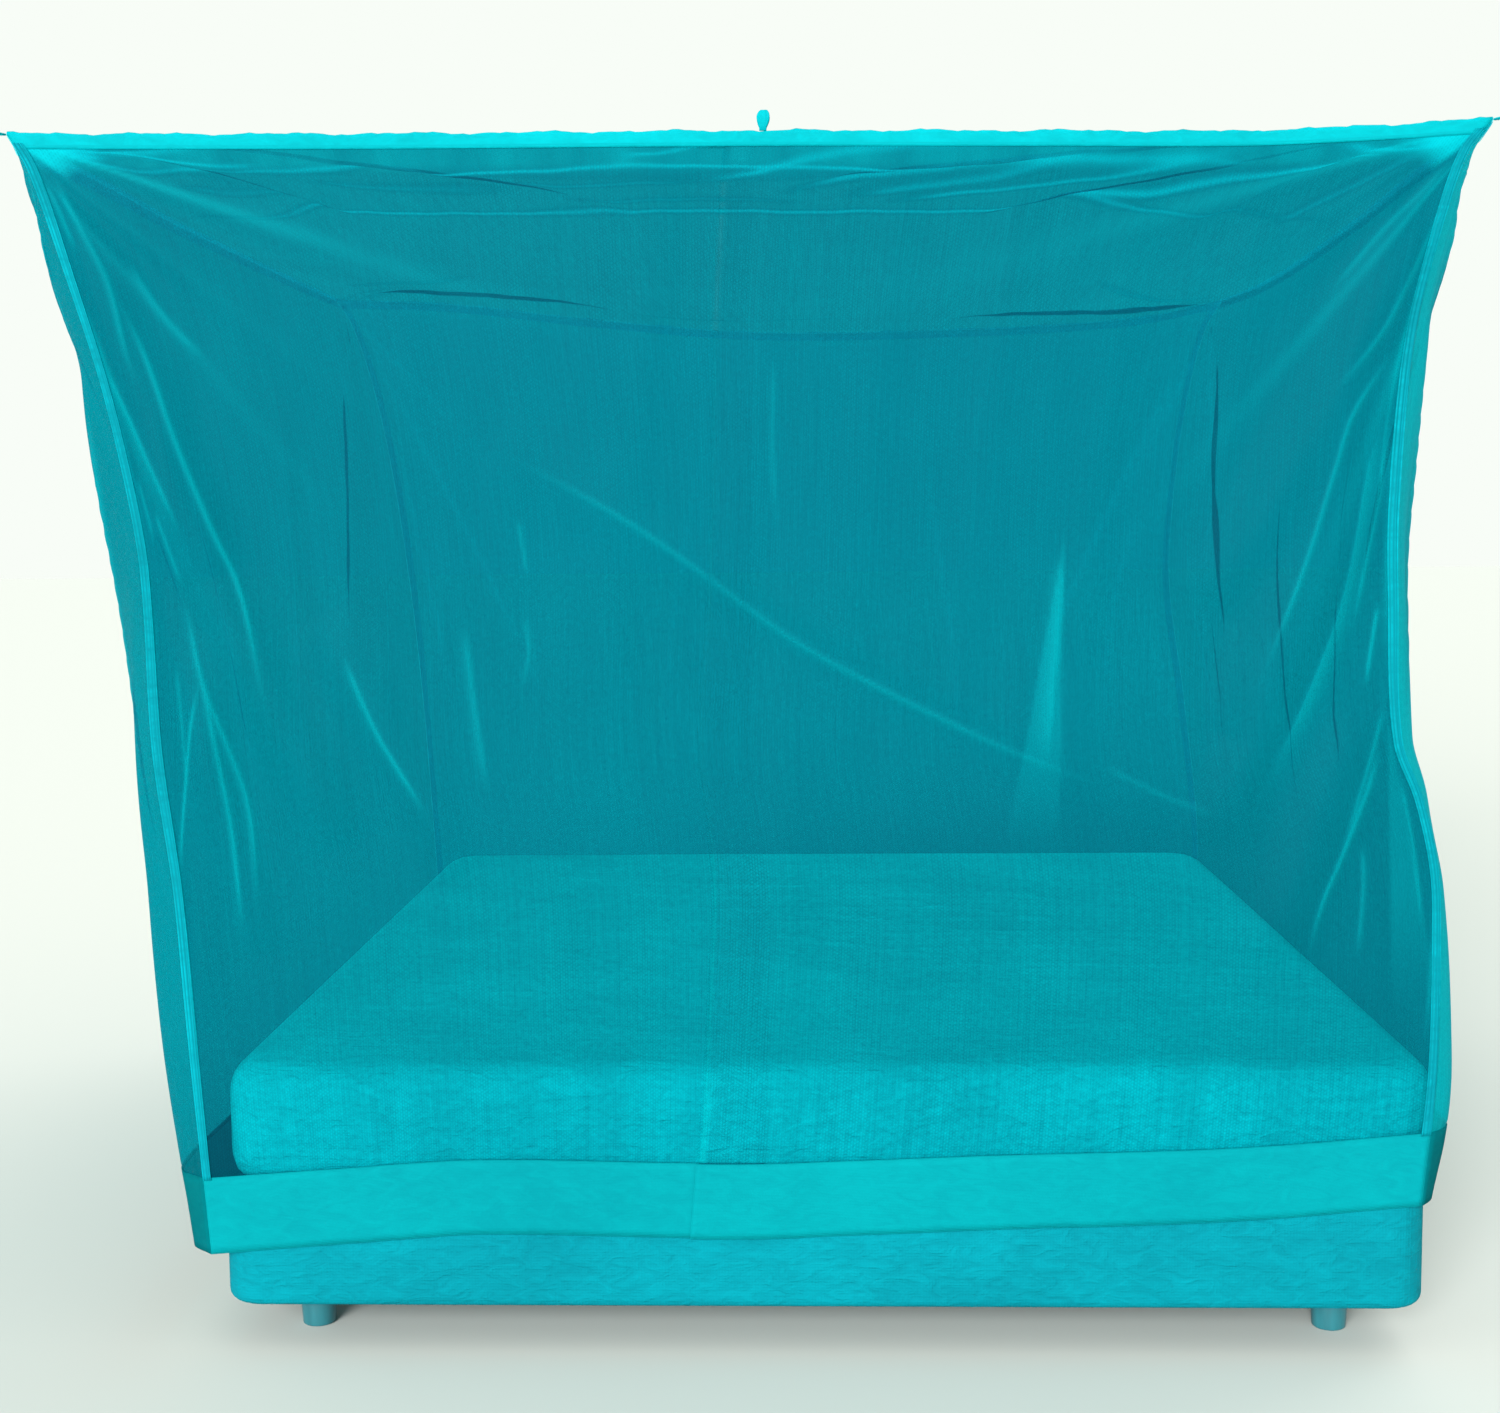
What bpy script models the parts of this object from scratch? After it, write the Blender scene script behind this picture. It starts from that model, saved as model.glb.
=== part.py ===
# A box mosquito net, hung by its four top corners over a plain bed.
#
# The roof and the walls are netting. A binding strip runs along each roof edge, a
# tape down each upright corner, and a woven border band along each foot. The foot end has two
# panels that overlap near the middle. The net flares towards its top corners, and its border
# hugs the foot end of the bed. Metres, +Z up, the foot of the bed at -Y, the floor at Z = 0.

import math

import bmesh
import bpy
from mathutils import Vector

COLLECTION_NAME = "mosquito_net_canopy"

# Cloth thicknesses and the spaces between pieces that meet
NET_THICK = 0.0010
WOVEN_THICK = 0.0012
SEAM_GAP = 0.0005
LAYER_STEP = (NET_THICK + WOVEN_THICK) / 2 + SEAM_GAP  # from the netting to the tape on it
CORNER_INSET = 0.0012  # side walls start this far behind the end walls
PANEL_STEP = 0.0040  # the right foot panel lies this far outside the left one

# Shares of a wall's drop, from 0 at the roof to 1 at the hem
WALL_TOP = 0.0008  # the netting starts 1.3 mm under the middle of the roof sheet
BINDING_DROP = 0.0112  # 18 mm binding
BINDING_STAND = 0.002  # how far it stands above the seam
BINDING_RISE = 0.11  # the same as a share of its own height
BORDER_TOP = 0.928  # 115 mm border band
TAPE_SHARE = 0.0085  # 16 mm corner tape, as a share of the wall's width
SEAM_SHARE = 0.0003  # a seam's gap, as a share of a wall's drop
WALL_COLUMNS = 18
PANEL_COLUMNS = 15
WALL_ROWS = 16

# The upright corners, from the hem up
CORNERS = {
    # z, x, y
    "front_left": (
        (0.153, -0.826, -0.998),
        (0.440, -0.845, -1.002),
        (0.700, -0.857, -1.012),
        (0.924, -0.878, -1.024),
        (1.205, -0.882, -1.038),
        (1.432, -0.917, -1.052),
        (1.607, -0.963, -1.060),
        (1.752, -1.008, -1.068),
        (1.800, -1.034, -1.072),
    ),
    "front_right": (
        (0.232, 0.985, -0.998),
        (0.430, 1.001, -1.003),
        (0.640, 1.000, -1.008),
        (0.739, 0.993, -1.013),
        (0.842, 0.968, -1.018),
        (0.930, 0.934, -1.024),
        (1.131, 0.921, -1.035),
        (1.272, 0.917, -1.043),
        (1.507, 0.932, -1.055),
        (1.682, 0.972, -1.064),
        (1.751, 0.996, -1.068),
        (1.788, 1.024, -1.072),
    ),
    "rear_right": (
        (0.205, 1.012, 0.992),
        (0.440, 1.030, 1.000),
        (0.800, 0.995, 1.016),
        (1.100, 0.958, 1.032),
        (1.380, 0.978, 1.048),
        (1.580, 1.012, 1.058),
        (1.710, 1.050, 1.066),
        (1.765, 1.085, 1.072),
    ),
    "rear_left": (
        (0.185, -0.845, 0.992),
        (0.440, -0.860, 1.000),
        (0.800, -0.884, 1.016),
        (1.100, -0.914, 1.032),
        (1.400, -0.958, 1.048),
        (1.600, -1.002, 1.058),
        (1.740, -1.050, 1.066),
        (1.795, -1.085, 1.072),
    ),
}

# The walls, each from one corner to the next. top and hem give heights along the wall, belly
# the share of the outward swing along it, and swing the metres of it down the drop. A fold is
# a soft ridge between two points of the wall, placed by its run along the wall and its height.
WALLS = {
    "front": {
        "corners": ("front_left", "front_right"),
        "out": (0, -1, 0),
        # share along, z
        "top": (
            (0, 1.800), (0.06, 1.797), (0.25, 1.791), (0.5, 1.787), (0.72, 1.780), (0.84, 1.776), (0.93, 1.781),
            (1, 1.788),
        ),
        "hem": (
            (0, 0.153), (0.11, 0.170), (0.23, 0.186), (0.45, 0.181), (0.66, 0.196), (0.84, 0.208), (1, 0.232),
        ),
        # share along, share of the swing
        "belly": ((0, 0), (0.12, 0.8), (0.3, 1), (0.5, 0.7), (0.72, 1), (0.9, 0.7), (1, 0)),
        # share of the drop, metres
        "swing": ((0, 0), (0.2, 0.006), (0.5, 0.012), (0.72, 0.010), (0.86, 0.004), (1, 0.0025)),
        # x0, z0, x1, z1, half width, rise
        "folds": (
            (-0.97, 1.72, -0.76, 1.18, 0.045, 0.024),
            (-0.88, 1.40, -0.60, 0.78, 0.045, 0.020),
            (-0.86, 1.20, -0.72, 0.62, 0.035, 0.017),
            (-0.78, 1.10, -0.84, 0.50, 0.040, 0.011),
            (-0.62, 1.12, -0.42, 0.74, 0.040, 0.012),
            (-0.36, 1.37, 0.62, 0.82, 0.050, 0.014),
            (0.94, 1.66, 0.66, 1.12, 0.045, 0.024),
            (0.88, 1.46, 0.68, 0.94, 0.040, 0.019),
            (0.88, 1.32, 0.66, 0.78, 0.040, 0.020),
            (0.87, 0.98, 0.75, 0.60, 0.045, 0.020),
        ),
    },
    "right": {
        "corners": ("front_right", "rear_right"),
        "out": (1, 0, 0),
        "top": ((0, 1.788), (0.16, 1.785), (0.37, 1.764), (0.7, 1.748), (1, 1.765)),
        "hem": ((0, 0.232), (0.05, 0.226), (0.5, 0.214), (1, 0.205)),
        "belly": (
            (0, 0), (0.015, 0.62), (0.03, 0.92), (0.07, 1), (0.3, 0.9), (0.7, 0.7), (0.9, 0.5), (1, 0),
        ),
        "swing": (
            (0, 0.012), (0.05, 0.028), (0.15, 0.033), (0.26, 0.027), (0.4, 0.027), (0.5, 0.035), (0.57, 0.031),
            (0.64, 0.018), (0.69, 0.023), (0.75, 0.031), (0.83, 0.037), (0.92, 0.045), (1, 0.033),
        ),
        # y0, z0, y1, z1, half width, rise
        "folds": (
            (-0.98, 1.70, -0.55, 1.05, 0.055, 0.030),
            (-0.99, 1.55, -0.78, 0.75, 0.050, 0.024),
            (-0.60, 1.50, -0.30, 0.70, 0.060, 0.021),
            (-0.05, 1.40, 0.05, 0.55, 0.060, 0.018),
            (0.98, 1.68, 0.50, 0.95, 0.060, 0.030),
            (0.70, 1.30, 0.72, 0.50, 0.060, 0.018),
        ),
    },
    "back": {
        "corners": ("rear_right", "rear_left"),
        "out": (0, 1, 0),
        "top": (
            (0, 1.765), (0.1, 1.726), (0.28, 1.706), (0.52, 1.704), (0.70, 1.738), (0.88, 1.784), (1, 1.795),
        ),
        "hem": ((0, 0.205), (0.5, 0.193), (1, 0.185)),
        "belly": ((0, 0), (0.15, 0.8), (0.5, 1), (0.85, 0.8), (1, 0)),
        "swing": ((0, 0), (0.3, 0.012), (0.7, 0.020), (1, 0.014)),
        # x0, z0, x1, z1, half width, rise
        "folds": (
            (0.98, 1.60, 0.60, 0.80, 0.060, 0.024),
            (0.38, 1.45, 0.46, 0.50, 0.060, 0.018),
            (-0.20, 1.50, -0.30, 0.50, 0.060, 0.015),
            (-0.98, 1.66, -0.55, 0.80, 0.060, 0.024),
        ),
    },
    "left": {
        "corners": ("rear_left", "front_left"),
        "out": (-1, 0, 0),
        "top": ((0, 1.795), (0.6, 1.795), (0.84, 1.806), (1, 1.800)),
        "hem": ((0, 0.185), (0.5, 0.160), (0.94, 0.138), (1, 0.153)),
        "belly": ((0, 0), (0.12, 0.3), (0.5, 0.55), (0.8, 0.85), (0.93, 1), (0.97, 0.72), (1, 0)),
        "swing": (
            (0, 0.018), (0.03, 0.040), (0.1, 0.051), (0.18, 0.058), (0.3, 0.061), (0.5, 0.059), (0.62, 0.074),
            (0.72, 0.081), (0.85, 0.076), (1, 0.061),
        ),
        # y0, z0, y1, z1, half width, rise
        "folds": (
            (-0.97, 1.70, -0.50, 1.00, 0.055, 0.030),
            (-0.98, 1.50, -0.72, 0.60, 0.050, 0.027),
            (-0.55, 1.45, -0.20, 0.70, 0.060, 0.021),
            (0.10, 1.40, 0.02, 0.55, 0.060, 0.018),
            (0.97, 1.68, 0.45, 0.95, 0.060, 0.030),
        ),
    },
}

# Where the foot panels end: share of the wall's width, at the roof and at the hem
LEFT_PANEL_END = (0.512, 0.459)
RIGHT_PANEL_START = (0.490, 0.401)
PANEL_STEP_FADE = 0.06  # the outer panel comes back to the wall over this share of the width

# The roof sags between its edges, and folds fan out over it from the foot-end corners
ROOF_SAG = 0.045
ROOF_FOLDS = (
    # x0, y0, x1, y1, half width, rise
    (-0.97, -1.02, -0.10, -0.93, 0.035, 0.015),
    (-0.97, -0.98, -0.20, -0.62, 0.045, 0.021),
    (-0.98, -0.92, -0.55, -0.10, 0.050, 0.018),
    (0.96, -1.02, 0.00, -0.95, 0.035, 0.018),
    (0.96, -1.00, 0.05, -0.76, 0.040, 0.024),
    (0.96, -0.96, 0.25, -0.45, 0.045, 0.021),
    (0.97, -0.92, 0.62, -0.05, 0.050, 0.018),
    (-1.00, 1.00, -0.35, 0.45, 0.060, 0.018),
    (1.00, 1.00, 0.40, 0.50, 0.060, 0.018),
)

# Hanging loops
CORD_RADIUS = 0.0015
CORNER_LOOP_LENGTH = 0.034
CORNER_LOOP_HALF_WIDTH = 0.007
CORNER_LOOP_NARROWING = 0.35
CORNER_LOOP_OFF = (0.0018, 0.0032)  # its root, outwards from the corner in X and Y
TAPE_LOOP_X = 0.026
TAPE_LOOP_HEIGHT = 0.028
TAPE_LOOP_HALF_DEPTH = 0.006
TAPE_LOOP_WIDTH = 0.016
TAPE_LOOP_NARROWING = 0.3
LOOP_POINTS = 20

# The bed
MATTRESS = {"x": (-0.814, 1.022), "y": (-0.9935, 0.9520), "z": (0.2453, 0.436)}
MATTRESS_CROWN = 0.014
MATTRESS_CUTS = (-0.84, -0.45, 0, 0.45, 0.84)  # its crown bends at these shares of each half
MATTRESS_EDGE = 0.045
MATTRESS_CORNER = 0.090
BASE = {"x": (-0.815, 1.003), "y": (-0.9976, 0.9500), "z": (0.0700, 0.2450)}
BASE_EDGE = 0.015
BASE_CORNER = 0.060
FOOT_RADIUS = 0.030
FOOT_TAPER = 0.85
FOOT_INSET = 0.120
FOOT_GAP = 0.0003

COLOURS = {
    # sRGB, roughness
    "netting": (0x0B96A6, 0.75),
    "binding": (0x1FDCE8, 0.60),
    "border": (0x08B4BE, 0.80),
    "mattress": (0x12BDCB, 0.85),
    "base": (0x06AEBD, 0.85),
    "feet": (0x1A5E66, 0.50),
}


def clamp(value, low=0.0, high=1.0):
    return max(low, min(high, value))


def mix(a, b, share):
    return a + (b - a) * share


def ease(share):
    share = clamp(share)
    return share * share * (3 - 2 * share)


def table_at(rows, at):
    """The other columns of a table at a value of its first, on a smooth curve through its rows."""
    at = clamp(at, rows[0][0], rows[-1][0])
    k = 0
    while k < len(rows) - 2 and at > rows[k + 1][0]:
        k += 1
    step = rows[k + 1][0] - rows[k][0]
    t = (at - rows[k][0]) / step

    def slope(row, column):
        low, high = max(row - 1, 0), min(row + 1, len(rows) - 1)
        return (rows[high][column] - rows[low][column]) / (rows[high][0] - rows[low][0])

    values = []
    for column in range(1, len(rows[0])):
        start, end = rows[k][column], rows[k + 1][column]
        rise_in, rise_out = slope(k, column) * step, slope(k + 1, column) * step
        values.append(
            start * (1 + 2 * t) * (1 - t) ** 2
            + rise_in * t * (1 - t) ** 2
            + end * t * t * (3 - 2 * t)
            + rise_out * t * t * (t - 1)
        )
    return values


def fold_rise(folds, across, along):
    """Height of the soft ridges at a place on a panel."""
    rise = 0.0
    for a0, b0, a1, b1, half_width, height in folds:
        da, db = a1 - a0, b1 - b0
        t = clamp(((across - a0) * da + (along - b0) * db) / (da * da + db * db))
        distance = math.hypot(across - a0 - da * t, along - b0 - db * t)
        rise += height * (1 - (2 * t - 1) ** 4) * math.exp(-((distance / half_width) ** 2))
    return rise


def wall_point(wall, u, v, outward=0.0):
    """A point of a wall: u along it, v down it, outward in metres off the netting."""
    data = WALLS[wall]
    z = mix(table_at(data["top"], u)[0], table_at(data["hem"], u)[0], v)
    ends = []
    for name, end in zip(data["corners"], (0, 1)):
        corner_z = mix(table_at(data["top"], end)[0], table_at(data["hem"], end)[0], v)
        ends.append(Vector(table_at(CORNERS[name], corner_z)))
    place = ends[0].lerp(ends[1], u)
    out = Vector(data["out"])
    across = place.x if abs(out.y) else place.y
    swing = table_at(data["belly"], u)[0] * table_at(data["swing"], v)[0]
    edge = ease(v / 0.06) * ease((1 - v) / 0.25) * ease(u / 0.02) * ease((1 - u) / 0.02)
    reach = swing + edge * fold_rise(data["folds"], across, z) + outward
    return Vector((place.x + out.x * reach, place.y + out.y * reach, z))


def roof_point(u, v):
    """A point of the roof: u from left to right, v from the head end to the foot end."""
    front, rear = wall_point("front", u, 0), wall_point("back", 1 - u, 0)
    left, right = wall_point("left", v, 0), wall_point("right", 1 - v, 0)
    square = (
        wall_point("back", 1, 0).lerp(wall_point("back", 0, 0), u)
        .lerp(wall_point("front", 0, 0).lerp(wall_point("front", 1, 0), u), v)
    )
    place = rear.lerp(front, v) + left.lerp(right, u) - square
    edge = ease(u / 0.04) * ease((1 - u) / 0.04) * ease(v / 0.04) * ease((1 - v) / 0.04)
    place.z += edge * fold_rise(ROOF_FOLDS, place.x, place.y)
    place.z -= ROOF_SAG * 16 * u * (1 - u) * v * (1 - v)
    return place


def spread(count, first):
    """Shares from 0 to 1, closer together near both ends, with a first step of its own."""
    steps = [0.0, first]
    for k in range(1, count):
        even = k / count
        steps.append(mix(even, 0.5 - 0.5 * math.cos(math.pi * even), 0.45))
    return steps + [1 - first, 1.0]


def material(name, finish):
    colour, roughness = COLOURS[finish]
    made = bpy.data.materials.new(name)
    made.use_nodes = True
    shader = made.node_tree.nodes["Principled BSDF"]
    channels = [((colour >> shift) & 255) / 255 for shift in (16, 8, 0)]
    linear = [((c + 0.055) / 1.055) ** 2.4 if c > 0.04045 else c / 12.92 for c in channels]
    shader.inputs["Base Color"].default_value = (*linear, 1)
    shader.inputs["Roughness"].default_value = roughness
    shader.inputs["Metallic"].default_value = 0
    return made


def add_object(name, data, finish):
    made = bpy.data.objects.new(name, data)
    bpy.data.collections[COLLECTION_NAME].objects.link(made)
    data.materials.append(material(name, finish))
    return made


def sheet(name, place, columns, rows, thick, finish):
    """A sheet of cloth: a grid laid on place(u, v) and thickened to both sides."""
    mesh = bpy.data.meshes.new(name)
    grid = bmesh.new()
    wide, high = len(columns) - 1, len(rows) - 1
    bmesh.ops.create_grid(grid, x_segments=wide, y_segments=high, size=0.5)
    for vert in grid.verts:
        column = round((vert.co.x + 0.5) * wide)
        row = round((0.5 - vert.co.y) * high)
        vert.co = place(columns[column], rows[row])
    grid.to_mesh(mesh)
    grid.free()
    mesh.shade_smooth()
    made = add_object(name, mesh, finish)
    thicken = made.modifiers.new("thickness", "SOLIDIFY")
    thicken.thickness = thick
    thicken.offset = 0
    return made


def wall_rows():
    """Rows down the netting: the binding's lower edge, then closer together near the roof."""
    rows = [WALL_TOP, BINDING_DROP]
    for k in range(1, WALL_ROWS):
        rows.append(mix(BINDING_DROP, BORDER_TOP, (k / WALL_ROWS) ** 1.15))
    return rows + [BORDER_TOP - SEAM_SHARE]


def panel_share(side, k, v):
    """Share of the front wall's width at share k of a foot panel."""
    if side == "left":
        return k * mix(*LEFT_PANEL_END, v)
    return mix(mix(*RIGHT_PANEL_START, v), 1, k)


def foot_panel_point(side, k, v):
    """A point of one of the two foot panels. The right one lies outside where they overlap:
    near the roof the left one gives way inwards, and near the hem the right one outwards."""
    u = panel_share(side, k, v)
    if side == "right":
        past = (u - mix(*LEFT_PANEL_END, v)) / PANEL_STEP_FADE
        return wall_point("front", u, v, PANEL_STEP * v * (1 - ease(past)))
    past = (mix(*RIGHT_PANEL_START, v) - u) / PANEL_STEP_FADE
    return wall_point("front", u, v, -PANEL_STEP * (1 - v) * (1 - ease(past)))


def side_share(u, wall):
    """Keeps the ends of the side walls behind the end walls' netting."""
    length = 2 * abs(CORNERS["front_left"][0][2])
    return mix(CORNER_INSET / length, 1 - CORNER_INSET / length, u) if wall in ("left", "right") else u


def hung_point(wall, u, v):
    return wall_point(wall, side_share(u, wall), v)


def layer_offset(wall, u, v, reach):
    """From a point of a wall to the tape or strip that is sewn on its outside."""
    along = hung_point(wall, min(u + reach, 1), v) - hung_point(wall, max(u - reach, 0), v)
    down = hung_point(wall, u, v + reach) - hung_point(wall, u, v - reach)
    return down.cross(along).normalized() * LAYER_STEP


def build_walls():
    columns = spread(PANEL_COLUMNS, 2 * TAPE_SHARE)
    rows = wall_rows()
    for side in ("left", "right"):
        sheet(f"front_panel_{side}", lambda k, v: foot_panel_point(side, k, v),
              columns, rows, NET_THICK, "netting")
    for wall in ("left", "right", "back"):
        sheet(f"{wall}_wall", lambda u, v: hung_point(wall, u, v),
              spread(WALL_COLUMNS, TAPE_SHARE), rows, NET_THICK, "netting")


def build_border():
    rows = [BORDER_TOP, mix(BORDER_TOP, 1, 0.5), 1.0]
    columns = spread(PANEL_COLUMNS, 2 * TAPE_SHARE)
    for side in ("left", "right"):
        sheet(f"border_front_{side}", lambda k, v: foot_panel_point(side, k, v),
              columns, rows, WOVEN_THICK, "border")
    for wall in ("left", "right", "back"):
        sheet(f"border_{wall}", lambda u, v: hung_point(wall, u, v),
              spread(WALL_COLUMNS, TAPE_SHARE), rows, WOVEN_THICK, "border")


def build_roof():
    shares = spread(WALL_COLUMNS, TAPE_SHARE)
    sheet("roof_panel", roof_point, shares, shares, NET_THICK, "netting")


def build_binding():
    """A strip over each roof seam, on the outside of the wall."""
    for wall in WALLS:
        def strip_point(u, v):
            top, low = hung_point(wall, u, 0), hung_point(wall, u, BINDING_DROP)
            return top.lerp(low, v) + layer_offset(wall, u, BINDING_DROP / 2, BINDING_DROP / 2)
        sheet(f"binding_{wall}", strip_point, spread(WALL_COLUMNS, TAPE_SHARE),
              [-BINDING_RISE, 1], WOVEN_THICK, "binding")


def build_tapes():
    """A tape down each upright corner, on the outside of the front and back walls."""
    rows = [BINDING_DROP + SEAM_SHARE] + wall_rows()[2:]
    starts = {"front_left": ("front", 0), "front_right": ("front", 1 - TAPE_SHARE),
              "rear_right": ("back", 0), "rear_left": ("back", 1 - TAPE_SHARE)}
    for corner, (wall, start) in starts.items():
        middle = start + TAPE_SHARE / 2

        def tape_point(u, v):
            return hung_point(wall, u, v) + layer_offset(wall, middle, v, TAPE_SHARE / 2)
        sheet(f"corner_tape_{corner}", tape_point, [start, start + TAPE_SHARE], rows,
              WOVEN_THICK, "binding")


def loop_outline(length, half_width, narrowing, points):
    """An egg-shaped ring that starts at its narrow end: run along it, and distance across."""
    outline = []
    for k in range(points):
        turn = 2 * math.pi * k / points
        run = length * (1 - math.cos(turn)) / 2
        across = half_width * math.sin(turn) * (1 - narrowing * math.cos(turn))
        outline.append((run, across))
    return outline


def ring_spline(curve, points):
    spline = curve.splines.new("POLY")
    spline.points.add(len(points) - 1)
    for point, place in zip(spline.points, points):
        point.co = (*place, 1)
    spline.use_cyclic_u = True


def build_corner_loops():
    """A loop of cord at each roof corner, lying flat and pulled outwards."""
    for corner, rows in CORNERS.items():
        z, x, y = rows[-1]
        out = Vector((math.copysign(1, x), math.copysign(1, y), 0))
        root = Vector((x + out.x * CORNER_LOOP_OFF[0], y + out.y * CORNER_LOOP_OFF[1], z))
        along, across = out.normalized(), Vector((-out.y, out.x, 0)).normalized()
        outline = loop_outline(
            CORNER_LOOP_LENGTH, CORNER_LOOP_HALF_WIDTH, CORNER_LOOP_NARROWING, LOOP_POINTS
        )
        curve = bpy.data.curves.new(f"hanging_loop_{corner}", "CURVE")
        curve.dimensions = "3D"
        curve.bevel_depth = CORD_RADIUS
        curve.bevel_resolution = 1
        ring_spline(curve, [root + along * run + across * off for run, off in outline])
        add_object(f"hanging_loop_{corner}", curve, "binding")


def build_tape_loop():
    """An upright loop of tape at the middle of the foot-end binding, its hole along X."""
    curve = bpy.data.curves.new("hanging_loop_front", "CURVE")
    curve.dimensions = "2D"
    curve.fill_mode = "BOTH"
    curve.extrude = TAPE_LOOP_WIDTH / 2
    for inset in (0, WOVEN_THICK):
        length, half_width = TAPE_LOOP_HEIGHT - 2 * inset, TAPE_LOOP_HALF_DEPTH - inset
        outline = loop_outline(length, half_width, TAPE_LOOP_NARROWING, LOOP_POINTS)
        ring_spline(curve, [(off, run + inset, 0) for run, off in outline])
    made = add_object("hanging_loop_front", curve, "binding")
    left, right = CORNERS["front_left"][-1][1], CORNERS["front_right"][-1][1]
    share, reach = (TAPE_LOOP_X - left) / (right - left), BINDING_DROP / 2
    root = hung_point("front", share, 0) + layer_offset("front", share, reach, reach)
    made.rotation_euler = (math.pi / 2, 0, math.pi / 2)
    made.location = (root.x, root.y, root.z + BINDING_STAND + SEAM_GAP)


def block(name, size, corner, edge, segments, finish, cuts=(), crown=0.0):
    """A block with round upright corners and softer rims, its top crowned between the cuts."""
    middle = Vector([sum(size[axis]) / 2 for axis in "xyz"])
    span = Vector([size[axis][1] - size[axis][0] for axis in "xyz"])
    shape = bmesh.new()
    bmesh.ops.create_cube(shape, size=1)
    for cut in cuts:
        for normal in (Vector((1, 0, 0)), Vector((0, 1, 0))):
            everything = shape.verts[:] + shape.edges[:] + shape.faces[:]
            bmesh.ops.bisect_plane(shape, geom=everything, plane_co=normal * cut / 2, plane_no=normal)
    for vert in shape.verts:
        x, y = 2 * vert.co.x, 2 * vert.co.y
        lift = crown * (1 - x * x) * (1 - y * y) if vert.co.z > 0 else 0
        vert.co = Vector((vert.co.x * span.x, vert.co.y * span.y, vert.co.z * span.z + lift))
    upright = []
    for side in shape.edges:
        drop = abs(side.verts[0].co.z - side.verts[1].co.z)
        if drop > span.z / 2 and side.calc_face_angle() > 1:
            upright.append(side)
    bmesh.ops.bevel(shape, geom=upright, offset=corner, segments=4, profile=0.5, affect="EDGES")
    mesh = bpy.data.meshes.new(name)
    shape.to_mesh(mesh)
    shape.free()
    mesh.shade_smooth()
    made = add_object(name, mesh, finish)
    made.location = middle
    rounding = made.modifiers.new("rounded edges", "BEVEL")
    rounding.width = edge
    rounding.segments = segments
    rounding.limit_method = "ANGLE"
    return made


def build_bed():
    block("mattress", MATTRESS, MATTRESS_CORNER, MATTRESS_EDGE, 3, "mattress",
          MATTRESS_CUTS, MATTRESS_CROWN)
    block("bed_base", BASE, BASE_CORNER, BASE_EDGE, 2, "base")
    height = BASE["z"][0] - FOOT_GAP
    feet = ((0, 0, "front_left"), (1, 0, "front_right"), (1, 1, "rear_right"), (0, 1, "rear_left"))
    for side, end, corner in feet:
        inset = Vector((FOOT_INSET * (1 - 2 * side), FOOT_INSET * (1 - 2 * end), 0))
        shape = bmesh.new()
        bmesh.ops.create_cone(shape, cap_ends=True, segments=20, radius1=FOOT_RADIUS * FOOT_TAPER,
                              radius2=FOOT_RADIUS, depth=height)
        mesh = bpy.data.meshes.new(f"bed_foot_{corner}")
        shape.to_mesh(mesh)
        shape.free()
        mesh.shade_smooth()
        mesh.set_sharp_from_angle(angle=math.radians(40))
        foot = add_object(f"bed_foot_{corner}", mesh, "feet")
        foot.location = Vector((BASE["x"][side], BASE["y"][end], height / 2)) + inset


def main():
    for old in list(bpy.data.objects):
        bpy.data.objects.remove(old)
    bpy.context.scene.collection.children.link(bpy.data.collections.new(COLLECTION_NAME))
    build_roof()
    build_walls()
    build_border()
    build_binding()
    build_tapes()
    build_corner_loops()
    build_tape_loop()
    build_bed()


main()
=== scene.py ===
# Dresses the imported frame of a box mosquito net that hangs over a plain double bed.
# Metres, with the foot of the bed at -Y, its left side at -X and the floor at Z = 0.

import math

import bpy
import numpy as np
from mathutils import Matrix, Vector


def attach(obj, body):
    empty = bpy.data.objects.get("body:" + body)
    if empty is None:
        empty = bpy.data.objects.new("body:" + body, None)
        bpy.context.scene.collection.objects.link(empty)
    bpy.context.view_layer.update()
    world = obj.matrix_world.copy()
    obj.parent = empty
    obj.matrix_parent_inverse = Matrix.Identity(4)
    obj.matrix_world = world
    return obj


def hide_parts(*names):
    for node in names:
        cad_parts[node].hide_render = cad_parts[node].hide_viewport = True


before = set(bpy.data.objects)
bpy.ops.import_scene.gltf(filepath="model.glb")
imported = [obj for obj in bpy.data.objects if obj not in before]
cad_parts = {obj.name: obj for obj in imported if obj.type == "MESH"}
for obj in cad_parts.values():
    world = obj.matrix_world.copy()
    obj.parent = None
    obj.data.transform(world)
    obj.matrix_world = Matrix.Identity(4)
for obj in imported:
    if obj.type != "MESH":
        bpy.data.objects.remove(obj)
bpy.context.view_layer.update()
print("frame loaded with", len(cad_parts), "nodes")

photoCamera = {
    "place": (0.098, -3.900, 1.260),
    "ahead": (-0.03429591, 0.99483158, -0.09557157),
    "right": (0.99939186, 0.03353517, -0.00955522),
    "focalPixels": 1997,
    "imageWidth": 1500,
    "sensor": 36,
}

studio = {
    "background": "#F8FDF7",
    "worldStrength": 1.0,
    "floorColour": "#C3C6C1",  # as bright as the background once the two lights are on it
    "floorSize": 80,
    # name, aimed from, strength, how wide the light looks in degrees
    "suns": (
        ("frontLight", (-1.3, -4.0, 1.2), 6.6, 30),
        ("rearLight", (2.6, 3.2, 4.2), 0.9, 40),
    ),
}


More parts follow.
